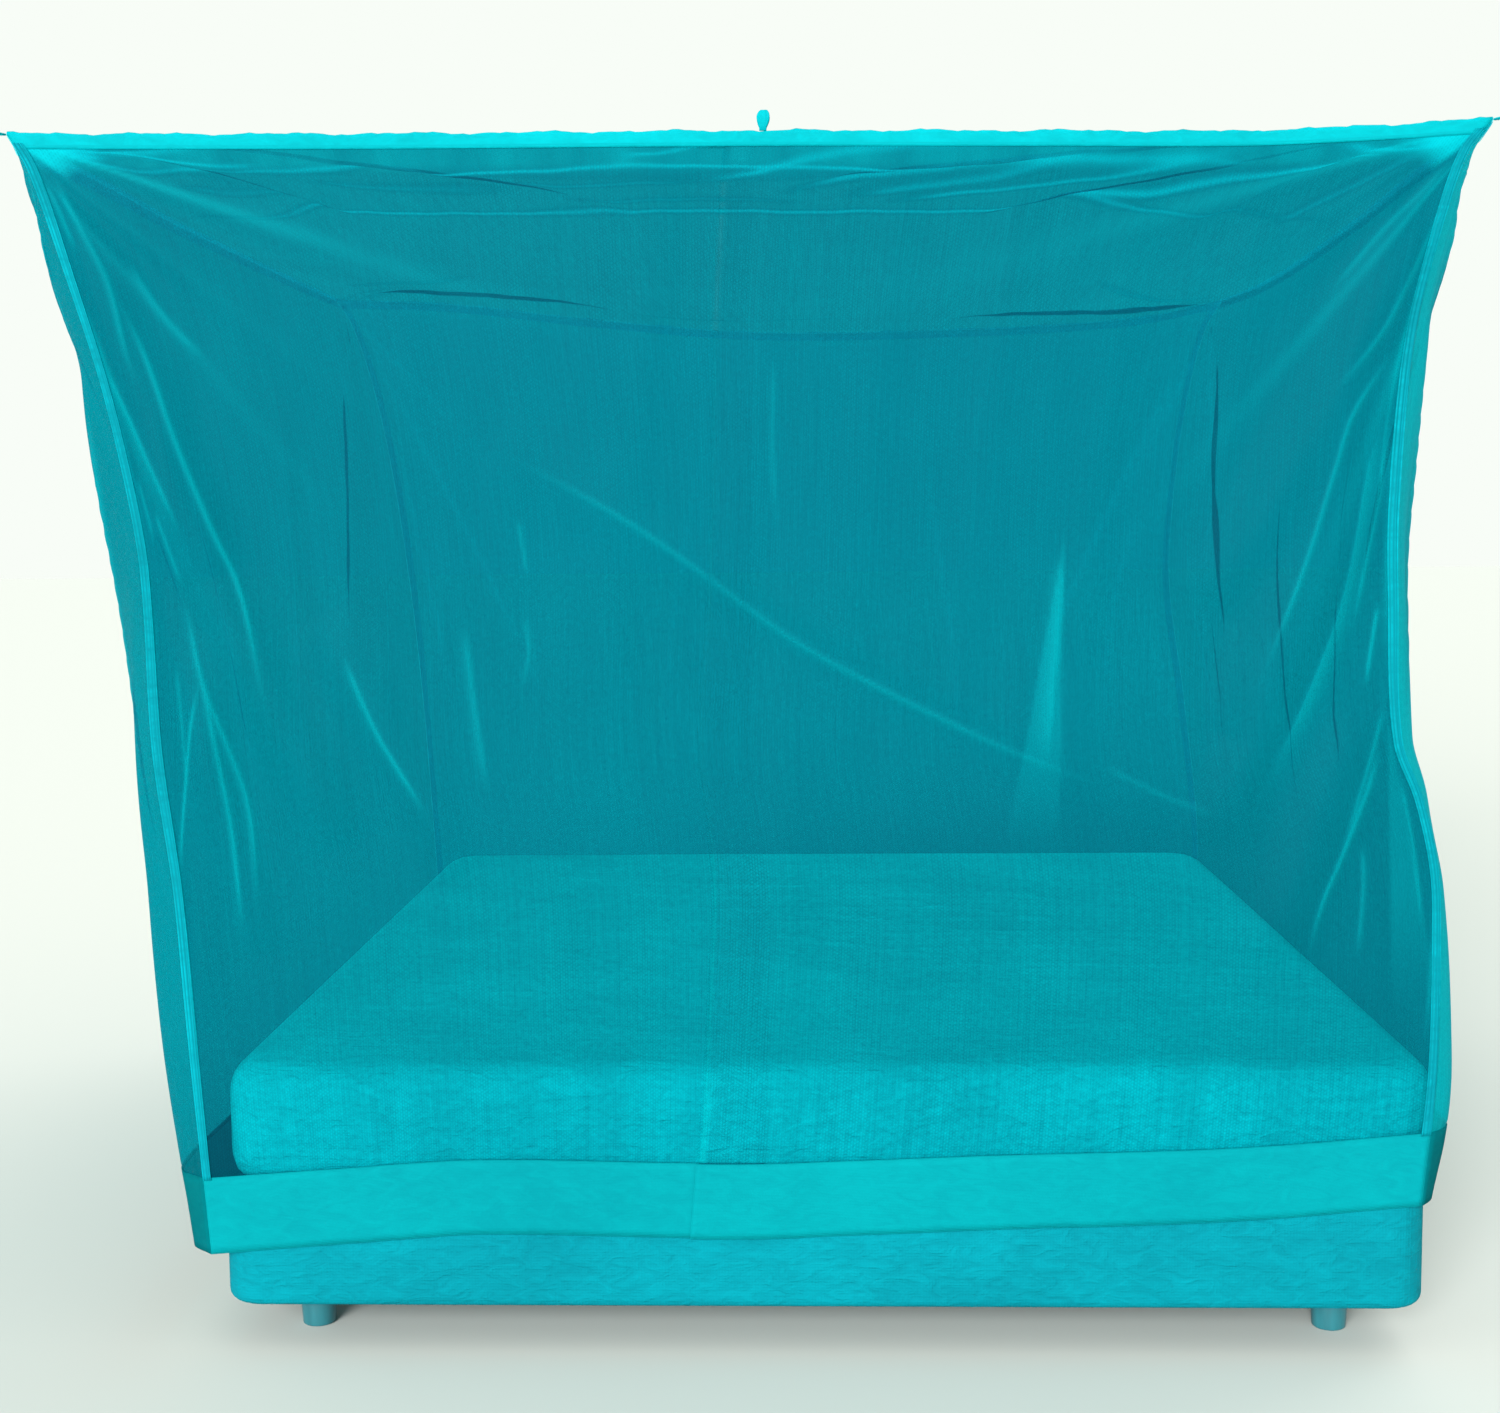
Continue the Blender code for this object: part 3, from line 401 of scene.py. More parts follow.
# Thin creases and soft bands that show on the netting. Each has its width on its left and on
# its right, its rise, how bright it is and its points: along the wall and up, or X and Y on the roof.
# All lengths in this table are in millimetres.
# each crease's brightness is a painted highlight along it, on the denser cloth of the fold
creases = {
    "front": (
        # at the left tape
        (4, 9, 2, 0.36, (-990, 1742), (-970, 1704), (-950, 1660), (-937, 1633)),
        (4, 10, 3, 0.38, (-980, 1756), (-907, 1619), (-891, 1574), (-869, 1476), (-848, 1441)),
        (3.5, 8, 3, 0.5, (-890, 1585), (-849, 1490), (-814, 1381), (-766, 1250), (-729, 1149), (-701, 998),
         (-690, 954)),
        (4, 12, 2, 0.28, (-873, 1628), (-823, 1547), (-758, 1479)),
        (4, 9, 3, 0.4, (-915, 1481), (-866, 1378), (-820, 1273), (-805, 1227)),
        (4, 7, 2, 0.32, (-874, 1324), (-859, 1251), (-856, 1223)),
        (4, 7, 2, 0.32, (-849, 1278), (-829, 1209), (-813, 1158)),
        (3.5, 9, 3, 0.44, (-816, 1159), (-793, 1035), (-760, 932), (-735, 835), (-728, 669)),
        (3.5, 6, 2, 0.46, (-793, 1035), (-812, 954), (-838, 806), (-847, 715)),
        (3.5, 6, 2, 0.32, (-830, 1058), (-826, 969), (-826, 865)),
        (3.5, 8, 2, 0.48, (-793, 1035), (-775, 928), (-758, 790), (-756, 624)),
        (5, 16, 2, 0.42, (-893, 810), (-869, 745), (-854, 670), (-846, 578), (-842, 400)),
        (6, 14, 2, 0.26, (-930, 1530), (-884, 1320), (-868, 1140), (-864, 980)),
        # between the tapes
        (3.5, 10, 2, 0.42, (-588, 1070), (-541, 953), (-500, 879), (-465, 816)),
        (4, 15, 2, 0.3, (-411, 1113), (-399, 996), (-383, 848)),
        (3.5, 5, 1.5, 0.3, (-330, 1260), (-322, 1205), (-318, 1170)),
        (3.5, 5, 1.5, 0.28, (-326, 1120), (-318, 1075), (-330, 1010)),
        (4, 9, 4, 0.3, (-353, 1355), (-184, 1261), (-71, 1182), (58, 1085), (158, 1027), (273, 968),
         (374, 920), (560, 846)),
        (4, 8, 2, 0.18, (500, 900), (600, 850), (680, 820)),
        (4, 24, 2, 0.3, (447, 1210), (440, 1080), (430, 960), (424, 880)),
        (4, 6, 1, 0.2, (38, 1485), (36, 1365), (38, 1245)),
        # at the right tape
        (10, 4, 2, 0.26, (980, 1747), (939, 1701), (882, 1646), (797, 1544)),
        (10, 4, 3, 0.3, (975, 1705), (942, 1629), (911, 1564), (877, 1499), (805, 1412)),
        (9, 4, 3, 0.36, (909, 1491), (842, 1394), (822, 1329), (785, 1199), (753, 1104), (716, 1003)),
        (26, 4, 3, 0.36, (900, 1400), (871, 1319), (840, 1131), (803, 1017), (747, 887), (727, 843)),
        (8, 4, 2, 0.36, (905, 1380), (888, 1296), (878, 1230), (855, 1074)),
        (7, 3.5, 2, 0.48, (893, 1131), (884, 1060), (878, 1002)),
        (9, 3.5, 3, 0.44, (903, 930), (884, 857), (845, 747), (825, 695), (805, 605)),
        (8, 3.5, 2, 0.34, (908, 988), (892, 923), (851, 769)),
        (6, 3.5, 2, 0.36, (930, 886), (947, 813), (961, 739), (973, 650)),
        (8, 4, 2, 0.32, (879, 783), (884, 724), (879, 605)),
        # folds that run beside the right tape
        (16, 8, 2, 0.36, (985, 1725), (950, 1600), (915, 1420), (905, 1270), (905, 1120), (918, 960)),
        (6, 3.5, 2, 0.26, (972, 1690), (925, 1540), (895, 1380), (888, 1220)),
        (10, 5, 2, 0.34, (985, 820), (990, 720), (988, 600), (982, 470)),
    ),
    "right": (
        (5, 18, 4, 0.45, (-1020, 1680), (-820, 1350), (-640, 1060)),
        (5, 16, 4, 0.45, (-1010, 1500), (-900, 1150), (-840, 820)),
        (5, 18, 4, 0.4, (-700, 1480), (-480, 1080), (-360, 740)),
        (5, 16, 3, 0.35, (-100, 1360), (-20, 980), (60, 620)),
        (5, 18, 4, 0.45, (1000, 1650), (740, 1280), (520, 940)),
        (5, 14, 3, 0.38, (960, 1420), (800, 1000), (740, 620)),
        (5, 14, 3, 0.3, (420, 1500), (330, 1180), (300, 860)),
    ),
    "back": (
        (5, 18, 4, 0.4, (990, 1620), (780, 1180), (620, 820)),
        (5, 14, 3, 0.35, (900, 1300), (820, 1000), (800, 640)),
        (5, 14, 3, 0.3, (360, 1420), (430, 960), (450, 600)),
        (5, 14, 3, 0.3, (-180, 1460), (-260, 1000), (-290, 640)),
        (5, 18, 4, 0.4, (-990, 1660), (-780, 1240), (-600, 860)),
        (5, 14, 3, 0.35, (-930, 1400), (-860, 1080), (-800, 760)),
    ),
    "left": (
        (5, 18, 4, 0.45, (-1010, 1680), (-760, 1300), (-560, 1020)),
        (5, 16, 4, 0.45, (-1000, 1480), (-880, 1080), (-780, 700)),
        (5, 18, 4, 0.38, (-560, 1440), (-400, 1080), (-260, 740)),
        (5, 16, 3, 0.35, (120, 1380), (60, 980), (20, 600)),
        (5, 18, 4, 0.42, (990, 1660), (720, 1280), (500, 960)),
        (5, 14, 3, 0.35, (920, 1360), (780, 980), (700, 640)),
    ),
    "roof": (
        # the two long creases across the roof, where the bolt was folded
        (12, 14, 4, 0.8, (-1060, -790), (-820, -800), (-570, -800), (-280, -880), (20, -900), (370, -840),
         (520, -860), (700, -880), (810, -820), (1030, -780)),
        (14, 16, 4, 0.7, (-1050, -300), (-940, -390), (-840, -420), (-630, -540), (-320, -600), (-100, -640),
         (320, -630), (600, -620), (800, -480), (900, -450), (1040, -270)),
        # folds that fan out from the two corners over the foot of the bed
        (18, 14, 4, 0.7, (-1010, -1040), (-960, -920), (-850, -900), (-710, -920), (-600, -880)),
        (14, 14, 5, 0.75, (-1000, -960), (-900, -870), (-810, -830), (-700, -820)),
        (14, 20, 5, 0.6, (-1030, -880), (-970, -760), (-870, -710), (-760, -690)),
        (14, 18, 4, 0.4, (-940, -660), (-820, -560), (-690, -600)),
        (12, 16, 3, 0.45, (-700, -750), (-520, -710), (-370, -680)),
        (9, 18, 4, 0.7, (-200, -900), (-130, -960), (-60, -1010), (40, -1050)),
        (12, 22, 4, 0.75, (-110, -800), (-10, -850), (60, -910), (200, -950), (340, -970), (520, -1000)),
        (10, 24, 5, 0.8, (30, -750), (120, -770), (260, -800), (370, -840), (460, -910), (600, -960)),
        (10, 22, 5, 0.7, (130, -710), (230, -750), (370, -800), (460, -850), (570, -940)),
        (10, 22, 5, 0.75, (190, -680), (300, -730), (390, -760), (520, -800), (640, -870), (780, -940)),
        (10, 24, 5, 0.9, (390, -640), (520, -640), (630, -670), (730, -740), (860, -790), (960, -830),
         (1000, -900)),
        (20, 26, 4, 0.75, (860, -920), (930, -860), (990, -880), (1010, -960)),
        (10, 16, 3, 0.45, (-390, -790), (-300, -780), (-160, -800), (-50, -820)),
        (10, 16, 3, 0.4, (-310, -640), (-160, -700), (-20, -710), (100, -700)),
        (10, 22, 5, 0.5, (880, -380), (930, -560), (980, -740), (1010, -920)),
        (10, 12, 2, 0.25, (-350, 580), (-60, 500), (200, 400)),
        (10, 20, 5, 0.4, (-1040, 1020), (-700, 760), (-420, 500)),
        (20, 10, 5, 0.4, (1040, 1020), (740, 760), (460, 520)),
        (10, 18, 4, 0.28, (-980, 700), (-720, 340), (-560, 20)),
        (18, 10, 4, 0.28, (1000, 660), (760, 300), (620, -60)),
        # where the cloth is drawn together at the corners
        (34, 34, 3, 0.85, (-1030, -1060), (-1000, -960), (-1000, -800)),
        (26, 20, 3, 0.7, (-1020, -1060), (-960, -990), (-900, -960)),
        (30, 34, 3, 0.85, (1015, -1060), (990, -960), (985, -860)),
        (30, 26, 3, 0.7, (1010, -1060), (920, -1000), (760, -980), (600, -990)),
    ),
}

# How wide, how high and how bright the creases of each wall are drawn, next to the table above. The
# brightness is a painted highlight.
creaseLook = {
    "front": (0.62, 0.6, 0.5),
    "right": (0.7, 0.7, 0.55),
    "back": (0.7, 0.7, 0.5),
    "left": (0.7, 0.7, 0.55),
    "roof": (0.85, 0.2, 1.12),
}

# Places where the netting lies folded over in a flat wedge: softness of its edges, brightness, which
# is a painted highlight, and its corners anticlockwise from the point it starts at, in millimetres.
wedges = {
    "front": (
        (5, 0.12, (447, 1225), (358, 730), (444, 730)),
        (7, 0.1, (-870, 980), (-890, 300), (-825, 300)),
        (7, 0.1, (912, 960), (940, 400), (990, 600)),
        (9, 0.55, (-1034, 1797), (-950, 1738), (-900, 1783)),
        (9, 0.45, (1024, 1786), (890, 1760), (945, 1722)),
    ),
    "roof": (
        (40, 0.9, (-1030, -1070), (-860, -1050), (-920, -880), (-990, -860)),
        (40, 0.75, (1020, -1070), (1000, -840), (860, -880), (820, -1050)),
    ),
}

# Gathers that fan out from a corner: along, z or y of the corner, reach, folds to the right angle,
# rise in millimetres, brightness (a painted highlight on the gathers' crests), phase.
fans = {
    "front": ((-1.034, 1.8, 0.46, 21, 3, 0.3, 0.4), (1.024, 1.788, 0.44, 19, 3, 0.28, 1.3)),
    "right": ((-1.072, 1.788, 0.4, 17, 4, 0.35, 0.9), (1.072, 1.765, 0.4, 17, 4, 0.3, 2.2)),
    "back": ((1.085, 1.765, 0.38, 17, 3, 0.3, 0.2), (-1.085, 1.795, 0.38, 17, 3, 0.3, 1.7)),
    "left": ((1.072, 1.795, 0.4, 17, 4, 0.3, 2.8), (-1.072, 1.8, 0.42, 17, 4, 0.35, 0.6)),
    "roof": (
        (-1.034, -1.072, 0.34, 17, 2, 0.65, 1.1), (1.024, -1.072, 0.42, 19, 2, 0.65, 0.3),
        (1.085, 1.072, 0.36, 15, 2, 0.35, 2.4), (-1.085, 1.072, 0.36, 15, 2, 0.35, 0.8),
    ),
}

cut = {
    "bindingDrop": 0.0112,  # shares of a wall's drop
    "borderTop": 0.928,
    "netTuck": 0.004,  # the netting runs on behind its border
    "tapeShare": 0.0085,  # shares of a wall's width
    "leftPanelEnd": (0.512, 0.459),  # at the roof and at the hem
    "rightPanelStart": (0.49, 0.401),
    "panelStepFade": 0.06,
    "panelStep": 0.004,  # metres: the right foot panel lies this far outside the left one
    "layerStep": 0.0016,  # from the netting to what is sewn on it
    "sideWidth": 2.144,  # metres, from one end of a side wall to the other
    "cornerInset": 0.0012,  # how far short of that its netting, and its border, stop at each end
    "borderInset": 0.0006,
}

# How the netting lies on the frame's folds. Fades are shares of a wall's drop or width.
drape = {
    "foldFade": (0.06, 0.25, 0.02),  # of the frame's folds: under the roof, over the hem, at the sides
    "looseFade": (0.05, 0.1, 0.02),  # of the creases and ripples, which start a little under the roof
    "looseStart": 0.01,
    "roofFade": 0.04,
    "wallRipple": 0.0022,  # metres
    "roofRipple": 0.002,
    "tuck": 0.0014,  # how far the netting lies behind its border
    "tuckFade": 0.003,
    "creaseEnds": (0.2, 0.3),  # shares of a crease over which it begins and ends
    "narrowest": 3,  # millimetres
    "brightest": 0.97,
    "gatherShares": (0.6, 0.4),  # two waves, so that no two gathers are alike
    "gatherStretch": (1.73, 2.3),
    "gatherRoot": 0.05,  # metres
    "ripples": ((0.31, 0.125, 0.5), (0.17, -0.0875, 0.3), (0.083, 0.0625, 0.2)),  # length, drift, share
    # painted light: each wall's netting drawn lighter, and the roof darker, by a set amount
    "wallPaintedLight": {"front": 0, "left": 0.13, "right": 0.1, "back": 0.1, "roof": -0.12},
    "overlapSheer": 0.9,  # one layer of the overlap is drawn open, so that two layers look like one
    "overlapFade": 0.006,
    "topFoldHighlight": (0.12, 0.034, 0.012),  # under the front binding, where the gathered netting is drawn lighter, partly a painted highlight: how folded, how far down, fade
    "roofFrontPaintedLight": (0.36, 0.875, 0.03),  # the roof's front drawn denser and lighter, as if folded: painted light. How much, from where on the roof, fade
    "rightFrontPaintedLight": (0.42, 0.1),  # painted light beside the right front tape, where the wall faces away from the light: how much, how far along
}


def mix(a, b, share):
    return a + (b - a) * share


def ease(share):
    share = np.clip(share, 0, 1)
    return share * share * (3 - 2 * share)


def between(at, fadeIn, fadeOut, start=0, end=1):
    return ease((at - start) / fadeIn) * ease((end - at) / fadeOut)


def layered(*tones):
    return 1 - math.prod(1 - tone for tone in tones)


def tableAt(rows, at):
    # The other columns of a table, on a smooth curve through its rows.
    rows = np.array(rows, float)
    knots, last = rows[:, 0], len(rows) - 1
    index = np.arange(len(rows))
    low, high = np.maximum(index - 1, 0), np.minimum(index + 1, last)
    slopes = (rows[high, 1:] - rows[low, 1:]) / (knots[high] - knots[low])[:, None]
    at = np.clip(np.asarray(at, float), knots[0], knots[-1])
    k = np.clip(np.searchsorted(knots, at, side="right") - 1, 0, last - 1)
    step = (knots[k + 1] - knots[k])[..., None]
    t = (at - knots[k])[..., None] / step
    return (
        rows[k, 1:] * (1 + 2 * t) * (1 - t) ** 2 + slopes[k] * step * t * (1 - t) ** 2
        + rows[k + 1, 1:] * t * t * (3 - 2 * t) + slopes[k + 1] * step * t * t * (t - 1)
    )


def nearest(x, y, start, reach):
    # How far along a straight run each place is, how far off it, and on which side.
    (x0, y0), (dx, dy) = start, reach
    t = np.clip(((x - x0) * dx + (y - y0) * dy) / (dx * dx + dy * dy), 0, 1)
    offX, offY = x - x0 - dx * t, y - y0 - dy * t
    return t, np.hypot(offX, offY), dx * offY - dy * offX


def foldRise(folds, across, along):
    rise = np.zeros(np.shape(across))
    for a0, b0, a1, b1, halfWidth, height in folds:
        t, distance, _ = nearest(across, along, (a0, b0), (a1 - a0, b1 - b0))
        rise += height * (1 - (2 * t - 1) ** 4) * np.exp(-((distance / halfWidth) ** 2))
    return rise


def smoothLine(points, steps=4):
    # More points on a smooth curve through a crease's own points.
    run = np.concatenate([[0], np.cumsum(np.hypot(*np.diff(points, axis=0).T))])
    at = np.linspace(0, run[-1], (len(points) - 1) * steps + 1)
    return at / run[-1], tableAt(np.column_stack([run, points]), at)


def wedgeTone(rows, across, along):
    # Brightness of the folded wedges at each place: a painted highlight.
    tone = np.zeros(len(across))
    for softness, bright, *points in rows:
        points = np.array(points) / 1000
        start, reach = points[0], points[1:].mean(0) - points[0]
        run = ((across - start[0]) * reach[0] + (along - start[1]) * reach[1]) / (reach @ reach)
        inside = ease((1 - run) / 0.5)
        for (x0, y0), (x1, y1) in zip(points, np.roll(points, -1, axis=0)):
            length = math.hypot(x1 - x0, y1 - y0)
            depth = ((x1 - x0) * (along - y0) - (y1 - y0) * (across - x0)) / length
            inside *= ease(depth / softness * 1000 + 0.5)
        tone = np.maximum(tone, bright * inside)
    return tone


def creaseField(wall, across, along):
    # Rise in metres and brightness of the listed creases at each place.
    rise, tone = np.zeros(len(across)), wedgeTone(wedges.get(wall, ()), across, along)
    widthShare, riseShare, toneShare = creaseLook[wall]
    for leftWidth, rightWidth, height, bright, *points in creases[wall]:
        widths = [max(width * widthShare, drape["narrowest"]) / 1000 for width in (leftWidth, rightWidth)]
        height, bright = height * riseShare / 1000, min(bright * toneShare, drape["brightest"])
        shares, line = smoothLine(np.array(points) / 1000)
        margin = 3 * max(widths)
        low, high = line.min(0) - margin, line.max(0) + margin
        near = np.flatnonzero((across > low[0]) & (across < high[0]) & (along > low[1]) & (along < high[1]))
        if not len(near):
            continue
        best, share, side = np.full(len(near), np.inf), np.zeros(len(near)), np.zeros(len(near))
        for k in range(len(line) - 1):
            t, distance, beside = nearest(across[near], along[near], line[k], line[k + 1] - line[k])
            closer = distance < best
            best = np.where(closer, distance, best)
            share = np.where(closer, mix(shares[k], shares[k + 1], t), share)
            side = np.where(closer, beside, side)
        width = np.where(side > 0, *widths)
        shape = np.exp(-((best / width) ** 2)) * between(share, *drape["creaseEnds"])
        rise[near] += height * shape
        # painted highlight along the crease
        tone[near] = layered(tone[near], bright * shape)
    return rise, tone


def fanField(rows, across, along):
    # Rise and brightness, a painted highlight on their crests, of the gathers that spread from the hanging
    # corners.
    rise, tone = np.zeros(len(across)), np.zeros(len(across))
    first, second = drape["gatherShares"]
    faster, later = drape["gatherStretch"]
    for cornerAcross, cornerAlong, reach, count, height, bright, phase in rows:
        a, b = np.abs(across - cornerAcross), np.abs(along - cornerAlong)
        far, angle = np.hypot(a, b), np.arctan2(a, b + 1e-6)
        wave = first * np.sin(count * angle + phase) + second * np.sin(faster * count * angle + later * phase)
        fade = ease(far / drape["gatherRoot"]) * np.exp(-((far / reach) ** 2))
        rise += height / 1000 * wave * fade
        tone = np.maximum(tone, bright * np.clip(wave, 0, 1) ** 4 * fade)
        # all the cloth meets at the corner, drawn lighter there: a painted highlight
        tone = np.maximum(tone, bright * np.exp(-((far / drape["gatherRoot"]) ** 2)))
    return rise, tone


def ripple(across, along, seed):
    # Slow unevenness of hanging cloth: soft upright waves that drift as they go down.
    total = np.zeros(len(across))
    for k, (length, drift, share) in enumerate(drape["ripples"]):
        phase = seed * 1.7 + k * 2.1
        total += share * np.sin(2 * math.pi * (across + drift * np.sin(2.3 * along + phase)) / length + phase)
    return total


def wallPlace(wall, u, v):
    # A point on the wall before its folds, with where it lies along the wall.
    data = walls[wall]
    z = mix(tableAt(data["top"], u)[..., 0], tableAt(data["hem"], u)[..., 0], v)
    ends = []
    for name, end in zip(data["corners"], (0, -1)):
        ends.append(tableAt(corners[name], mix(data["top"][end][1], data["hem"][end][1], v)))
    x = mix(ends[0][..., 0], ends[1][..., 0], u)
    y = mix(ends[0][..., 1], ends[1][..., 1], u)
    return x, y, z, (x if data["out"][1] else y)


def wallPoint(wall, u, v, outward=0.0):
    data = walls[wall]
    x, y, z, across = wallPlace(wall, u, v)
    swing = tableAt(data["belly"], u)[..., 0] * tableAt(data["swing"], v)[..., 0]
    under, over, beside = drape["foldFade"]
    edge = between(v, under, over) * between(u, beside, beside)
    reach = swing + edge * foldRise(data["folds"], across, z) + outward
    return np.column_stack([x + data["out"][0] * reach, y + data["out"][1] * reach, z])


def sideShare(wall, u, inset=cut["cornerInset"]):
    # Keeps the ends of the side walls just behind the end walls.
    if wall not in ("left", "right"):
        return u
    return mix(inset / cut["sideWidth"], 1 - inset / cut["sideWidth"], u)


def netPoint(wall, u, v, outward=0.0):
    # The netting itself: the frame's folds, and on them the creases, gathers and ripples.
    share = sideShare(wall, u)
    x, y, z, across = wallPlace(wall, share, v)
    creaseRise, creaseTone = creaseField(wall, across, z)
    fanRise, fanTone = fanField(fans[wall], across, z)
    fadeIn, fadeOut, beside = drape["looseFade"]
    loose = between(v, fadeIn, fadeOut, drape["looseStart"], cut["borderTop"])
    loose = loose * between(u, beside, beside, cut["tapeShare"], 1 - cut["tapeShare"])
    rise = creaseRise + fanRise + drape["wallRipple"] * ripple(across, z, 1 + list(walls).index(wall))
    tuck = drape["tuck"] * ease((v - cut["borderTop"] + cut["netTuck"]) / drape["tuckFade"])
    # the fold tone: creases and gathers with their painted highlight, over the wall's painted light
    tone = layered(creaseTone, fanTone, drape["wallPaintedLight"][wall])
    # a lighter band under the front binding, where the netting is gathered: a painted highlight on its denser
    # cloth
    if wall == "front":
        bright, reach, fade = drape["topFoldHighlight"]
        tone = layered(tone, bright * ease((reach - v) / fade) * (1 + 0.5 * ripple(2 * across, z, 5)))
    # painted light on the right wall's front end, which faces away from the light
    if wall == "right":
        bright, reach = drape["rightFrontPaintedLight"]
        tone = layered(tone, bright * ease(1 - share / reach))
    return wallPoint(wall, share, v, rise * loose - tuck + outward), {"foldAndPaintedLight": tone}


def roofPoint(u, v):
    # The roof between the tops of its walls: u from left to right, v from the head end down.
    none = np.zeros(len(u))
    front, rear = wallPoint("front", u, none), wallPoint("back", 1 - u, none)
    left, right = wallPoint("left", v, none), wallPoint("right", 1 - v, none)
    ends = [wallPoint(wall, np.array([end]), np.zeros(1))
            for wall, end in (("back", 1.0), ("back", 0.0), ("front", 0.0), ("front", 1.0))]
    column, row = u[:, None], v[:, None]
    square = mix(mix(ends[0], ends[1], column), mix(ends[2], ends[3], column), row)
    place = mix(rear, front, row) + mix(left, right, column) - square
    edge = between(u, drape["roofFade"], drape["roofFade"]) * between(v, drape["roofFade"], drape["roofFade"])
    place[:, 2] += edge * foldRise(roof["folds"], place[:, 0], place[:, 1])
    place[:, 2] -= roof["sag"] * 16 * u * (1 - u) * v * (1 - v)  # 16 makes it whole in the middle
    creaseRise, creaseTone = creaseField("roof", place[:, 0], place[:, 1])
    fanRise, fanTone = fanField(fans["roof"], place[:, 0], place[:, 1])
    place[:, 2] += edge * (creaseRise + fanRise + drape["roofRipple"] * ripple(place[:, 0], place[:, 1], 7))
    # painted light: a lighter band along the roof's front, over the roof's own darker painted light
    bright, start, fade = drape["roofFrontPaintedLight"]
    base = drape["wallPaintedLight"]["roof"] + bright * ease((v - start) / fade)
    return place, {"foldAndPaintedLight": layered(creaseTone, fanTone, base)}


def panelShare(side, k, v):
    if side == "left":
        return k * mix(*cut["leftPanelEnd"], v)
    return mix(mix(*cut["rightPanelStart"], v), 1, k)


def panelOutward(side, u, v):
    # Where the two foot panels overlap, the right one lies outside.
    if side == "right":
        past = (u - mix(*cut["leftPanelEnd"], v)) / cut["panelStepFade"]
        return cut["panelStep"] * v * (1 - ease(past))
    past = (mix(*cut["rightPanelStart"], v) - u) / cut["panelStepFade"]
    return -cut["panelStep"] * (1 - v) * (1 - ease(past))


def clothGrid(name, place, columns, rows, size, kind, thick=0.0, closed=False):
    # A flat grid laid on place(u, v), with its flat size in metres as its UV map. place gives the
    # points and, for netting, how folded each is, with its painted highlight and painted light, and how
    # open. A closed one has its ends joined.
    bpy.ops.object.select_all(action="DESELECT")
    bpy.ops.mesh.primitive_grid_add(x_subdivisions=len(columns) - 1, y_subdivisions=len(rows) - 1, size=2)
    made = bpy.context.object
    made.name = made.data.name = name
    mesh = made.data
    flat = np.empty(len(mesh.vertices) * 3)
    mesh.vertices.foreach_get("co", flat)
    flat = flat.reshape(-1, 3)
    column = np.rint((flat[:, 0] + 1) / 2 * (len(columns) - 1)).astype(int)
    row = np.rint((1 - flat[:, 1]) / 2 * (len(rows) - 1)).astype(int)
    u, v = columns[column], rows[row]
    placed, shades = place(u, v)
    mesh.vertices.foreach_set("co", placed.astype(np.float32).ravel())
    corner = np.empty(len(mesh.loops), np.int32)
    mesh.loops.foreach_get("vertex_index", corner)
    uv = np.column_stack([u * size[0], (1 - v) * size[1]])[corner]
    mesh.uv_layers[0].data.foreach_set("uv", uv.astype(np.float32).ravel())
    for shade, values in shades.items():
        mesh.attributes.new(shade, "FLOAT", "POINT").data.foreach_set("value", values.astype(np.float32))
    mesh.update()
    if closed:
        bpy.ops.object.mode_set(mode="EDIT")
        bpy.ops.mesh.select_all(action="SELECT")
        bpy.ops.mesh.remove_doubles(threshold=1e-5)
        bpy.ops.object.mode_set(mode="OBJECT")
    if thick:
        solid = made.modifiers.new("thickness", "SOLIDIFY")
        solid.thickness, solid.offset = thick, 0
        bpy.ops.object.modifier_apply(modifier=solid.name)
    bpy.ops.object.shade_smooth()
    made.data.materials.append(materials[kind])
    return made


def keep(piece, node):
    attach(piece, "root")
    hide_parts(node)


def even(count, start=0, end=1):
    return np.linspace(start, end, count + 1)


def closer(count, share, towards):
    # Shares from 0 to 1, with the given share of the steps in the first part up to towards.
    first = int(count * share)
    return np.concatenate([even(first, 0, towards)[:-1], even(count - first, towards, 1)])


mapDrop = 1.6  # a wall's whole drop, in metres of its UV map

netGrids = {
    # side: columns, share of them in the outer part, how far that reaches, flat width
    "front": {"left": (290, 0.6, 0.46, 1.06), "right": (300, 0.55, 0.36, 1.16)},
    "frontRows": 310,
    # wall: columns, rows, flat width
    "others": {"left": (220, 190, 2.14), "right": (220, 190, 2.14), "back": (160, 150, 2.17)},
    "roof": (265, 265, 0.5, 0.62),  # columns, rows, share of them in the rear part, how far that reaches
    "roofFlat": (2.13, 2.14),
    "drop": 1.5,
}


def buildFrontNets():
    rows = even(netGrids["frontRows"], 0, cut["borderTop"] + cut["netTuck"])
    for side, (count, share, reach, width) in netGrids["front"].items():
        def place(k, v):
            u = panelShare(side, k, v)
            points, shades = netPoint("front", u, v, panelOutward(side, u, v))
            past = ease((u - mix(*cut["rightPanelStart"], v)) / drape["overlapFade"])
            shades["open"] = drape["overlapSheer"] * (past if side == "left" else 1 - past)
            return points, shades
        columns = closer(count, share, reach)
        if side == "right":
            columns = 1 - columns[::-1]
        piece = clothGrid(f"frontNet{side.capitalize()}", place, columns, rows, (width, mapDrop), "netting")
        keep(piece, f"front_panel_{side}")


def buildOtherNets():
    for wall, (count, rowCount, width) in netGrids["others"].items():
        rows = even(rowCount, 0, cut["borderTop"] + cut["netTuck"])
        piece = clothGrid(
            f"{wall}Net", lambda u, v: netPoint(wall, u, v), even(count), rows, (width, mapDrop), "netting")
        keep(piece, f"{wall}_wall")
    count, rowCount, share, reach = netGrids["roof"]
    piece = clothGrid("roofNet", roofPoint, even(count), closer(rowCount, share, reach), netGrids["roofFlat"],
                      "netting")
    keep(piece, "roof_panel")


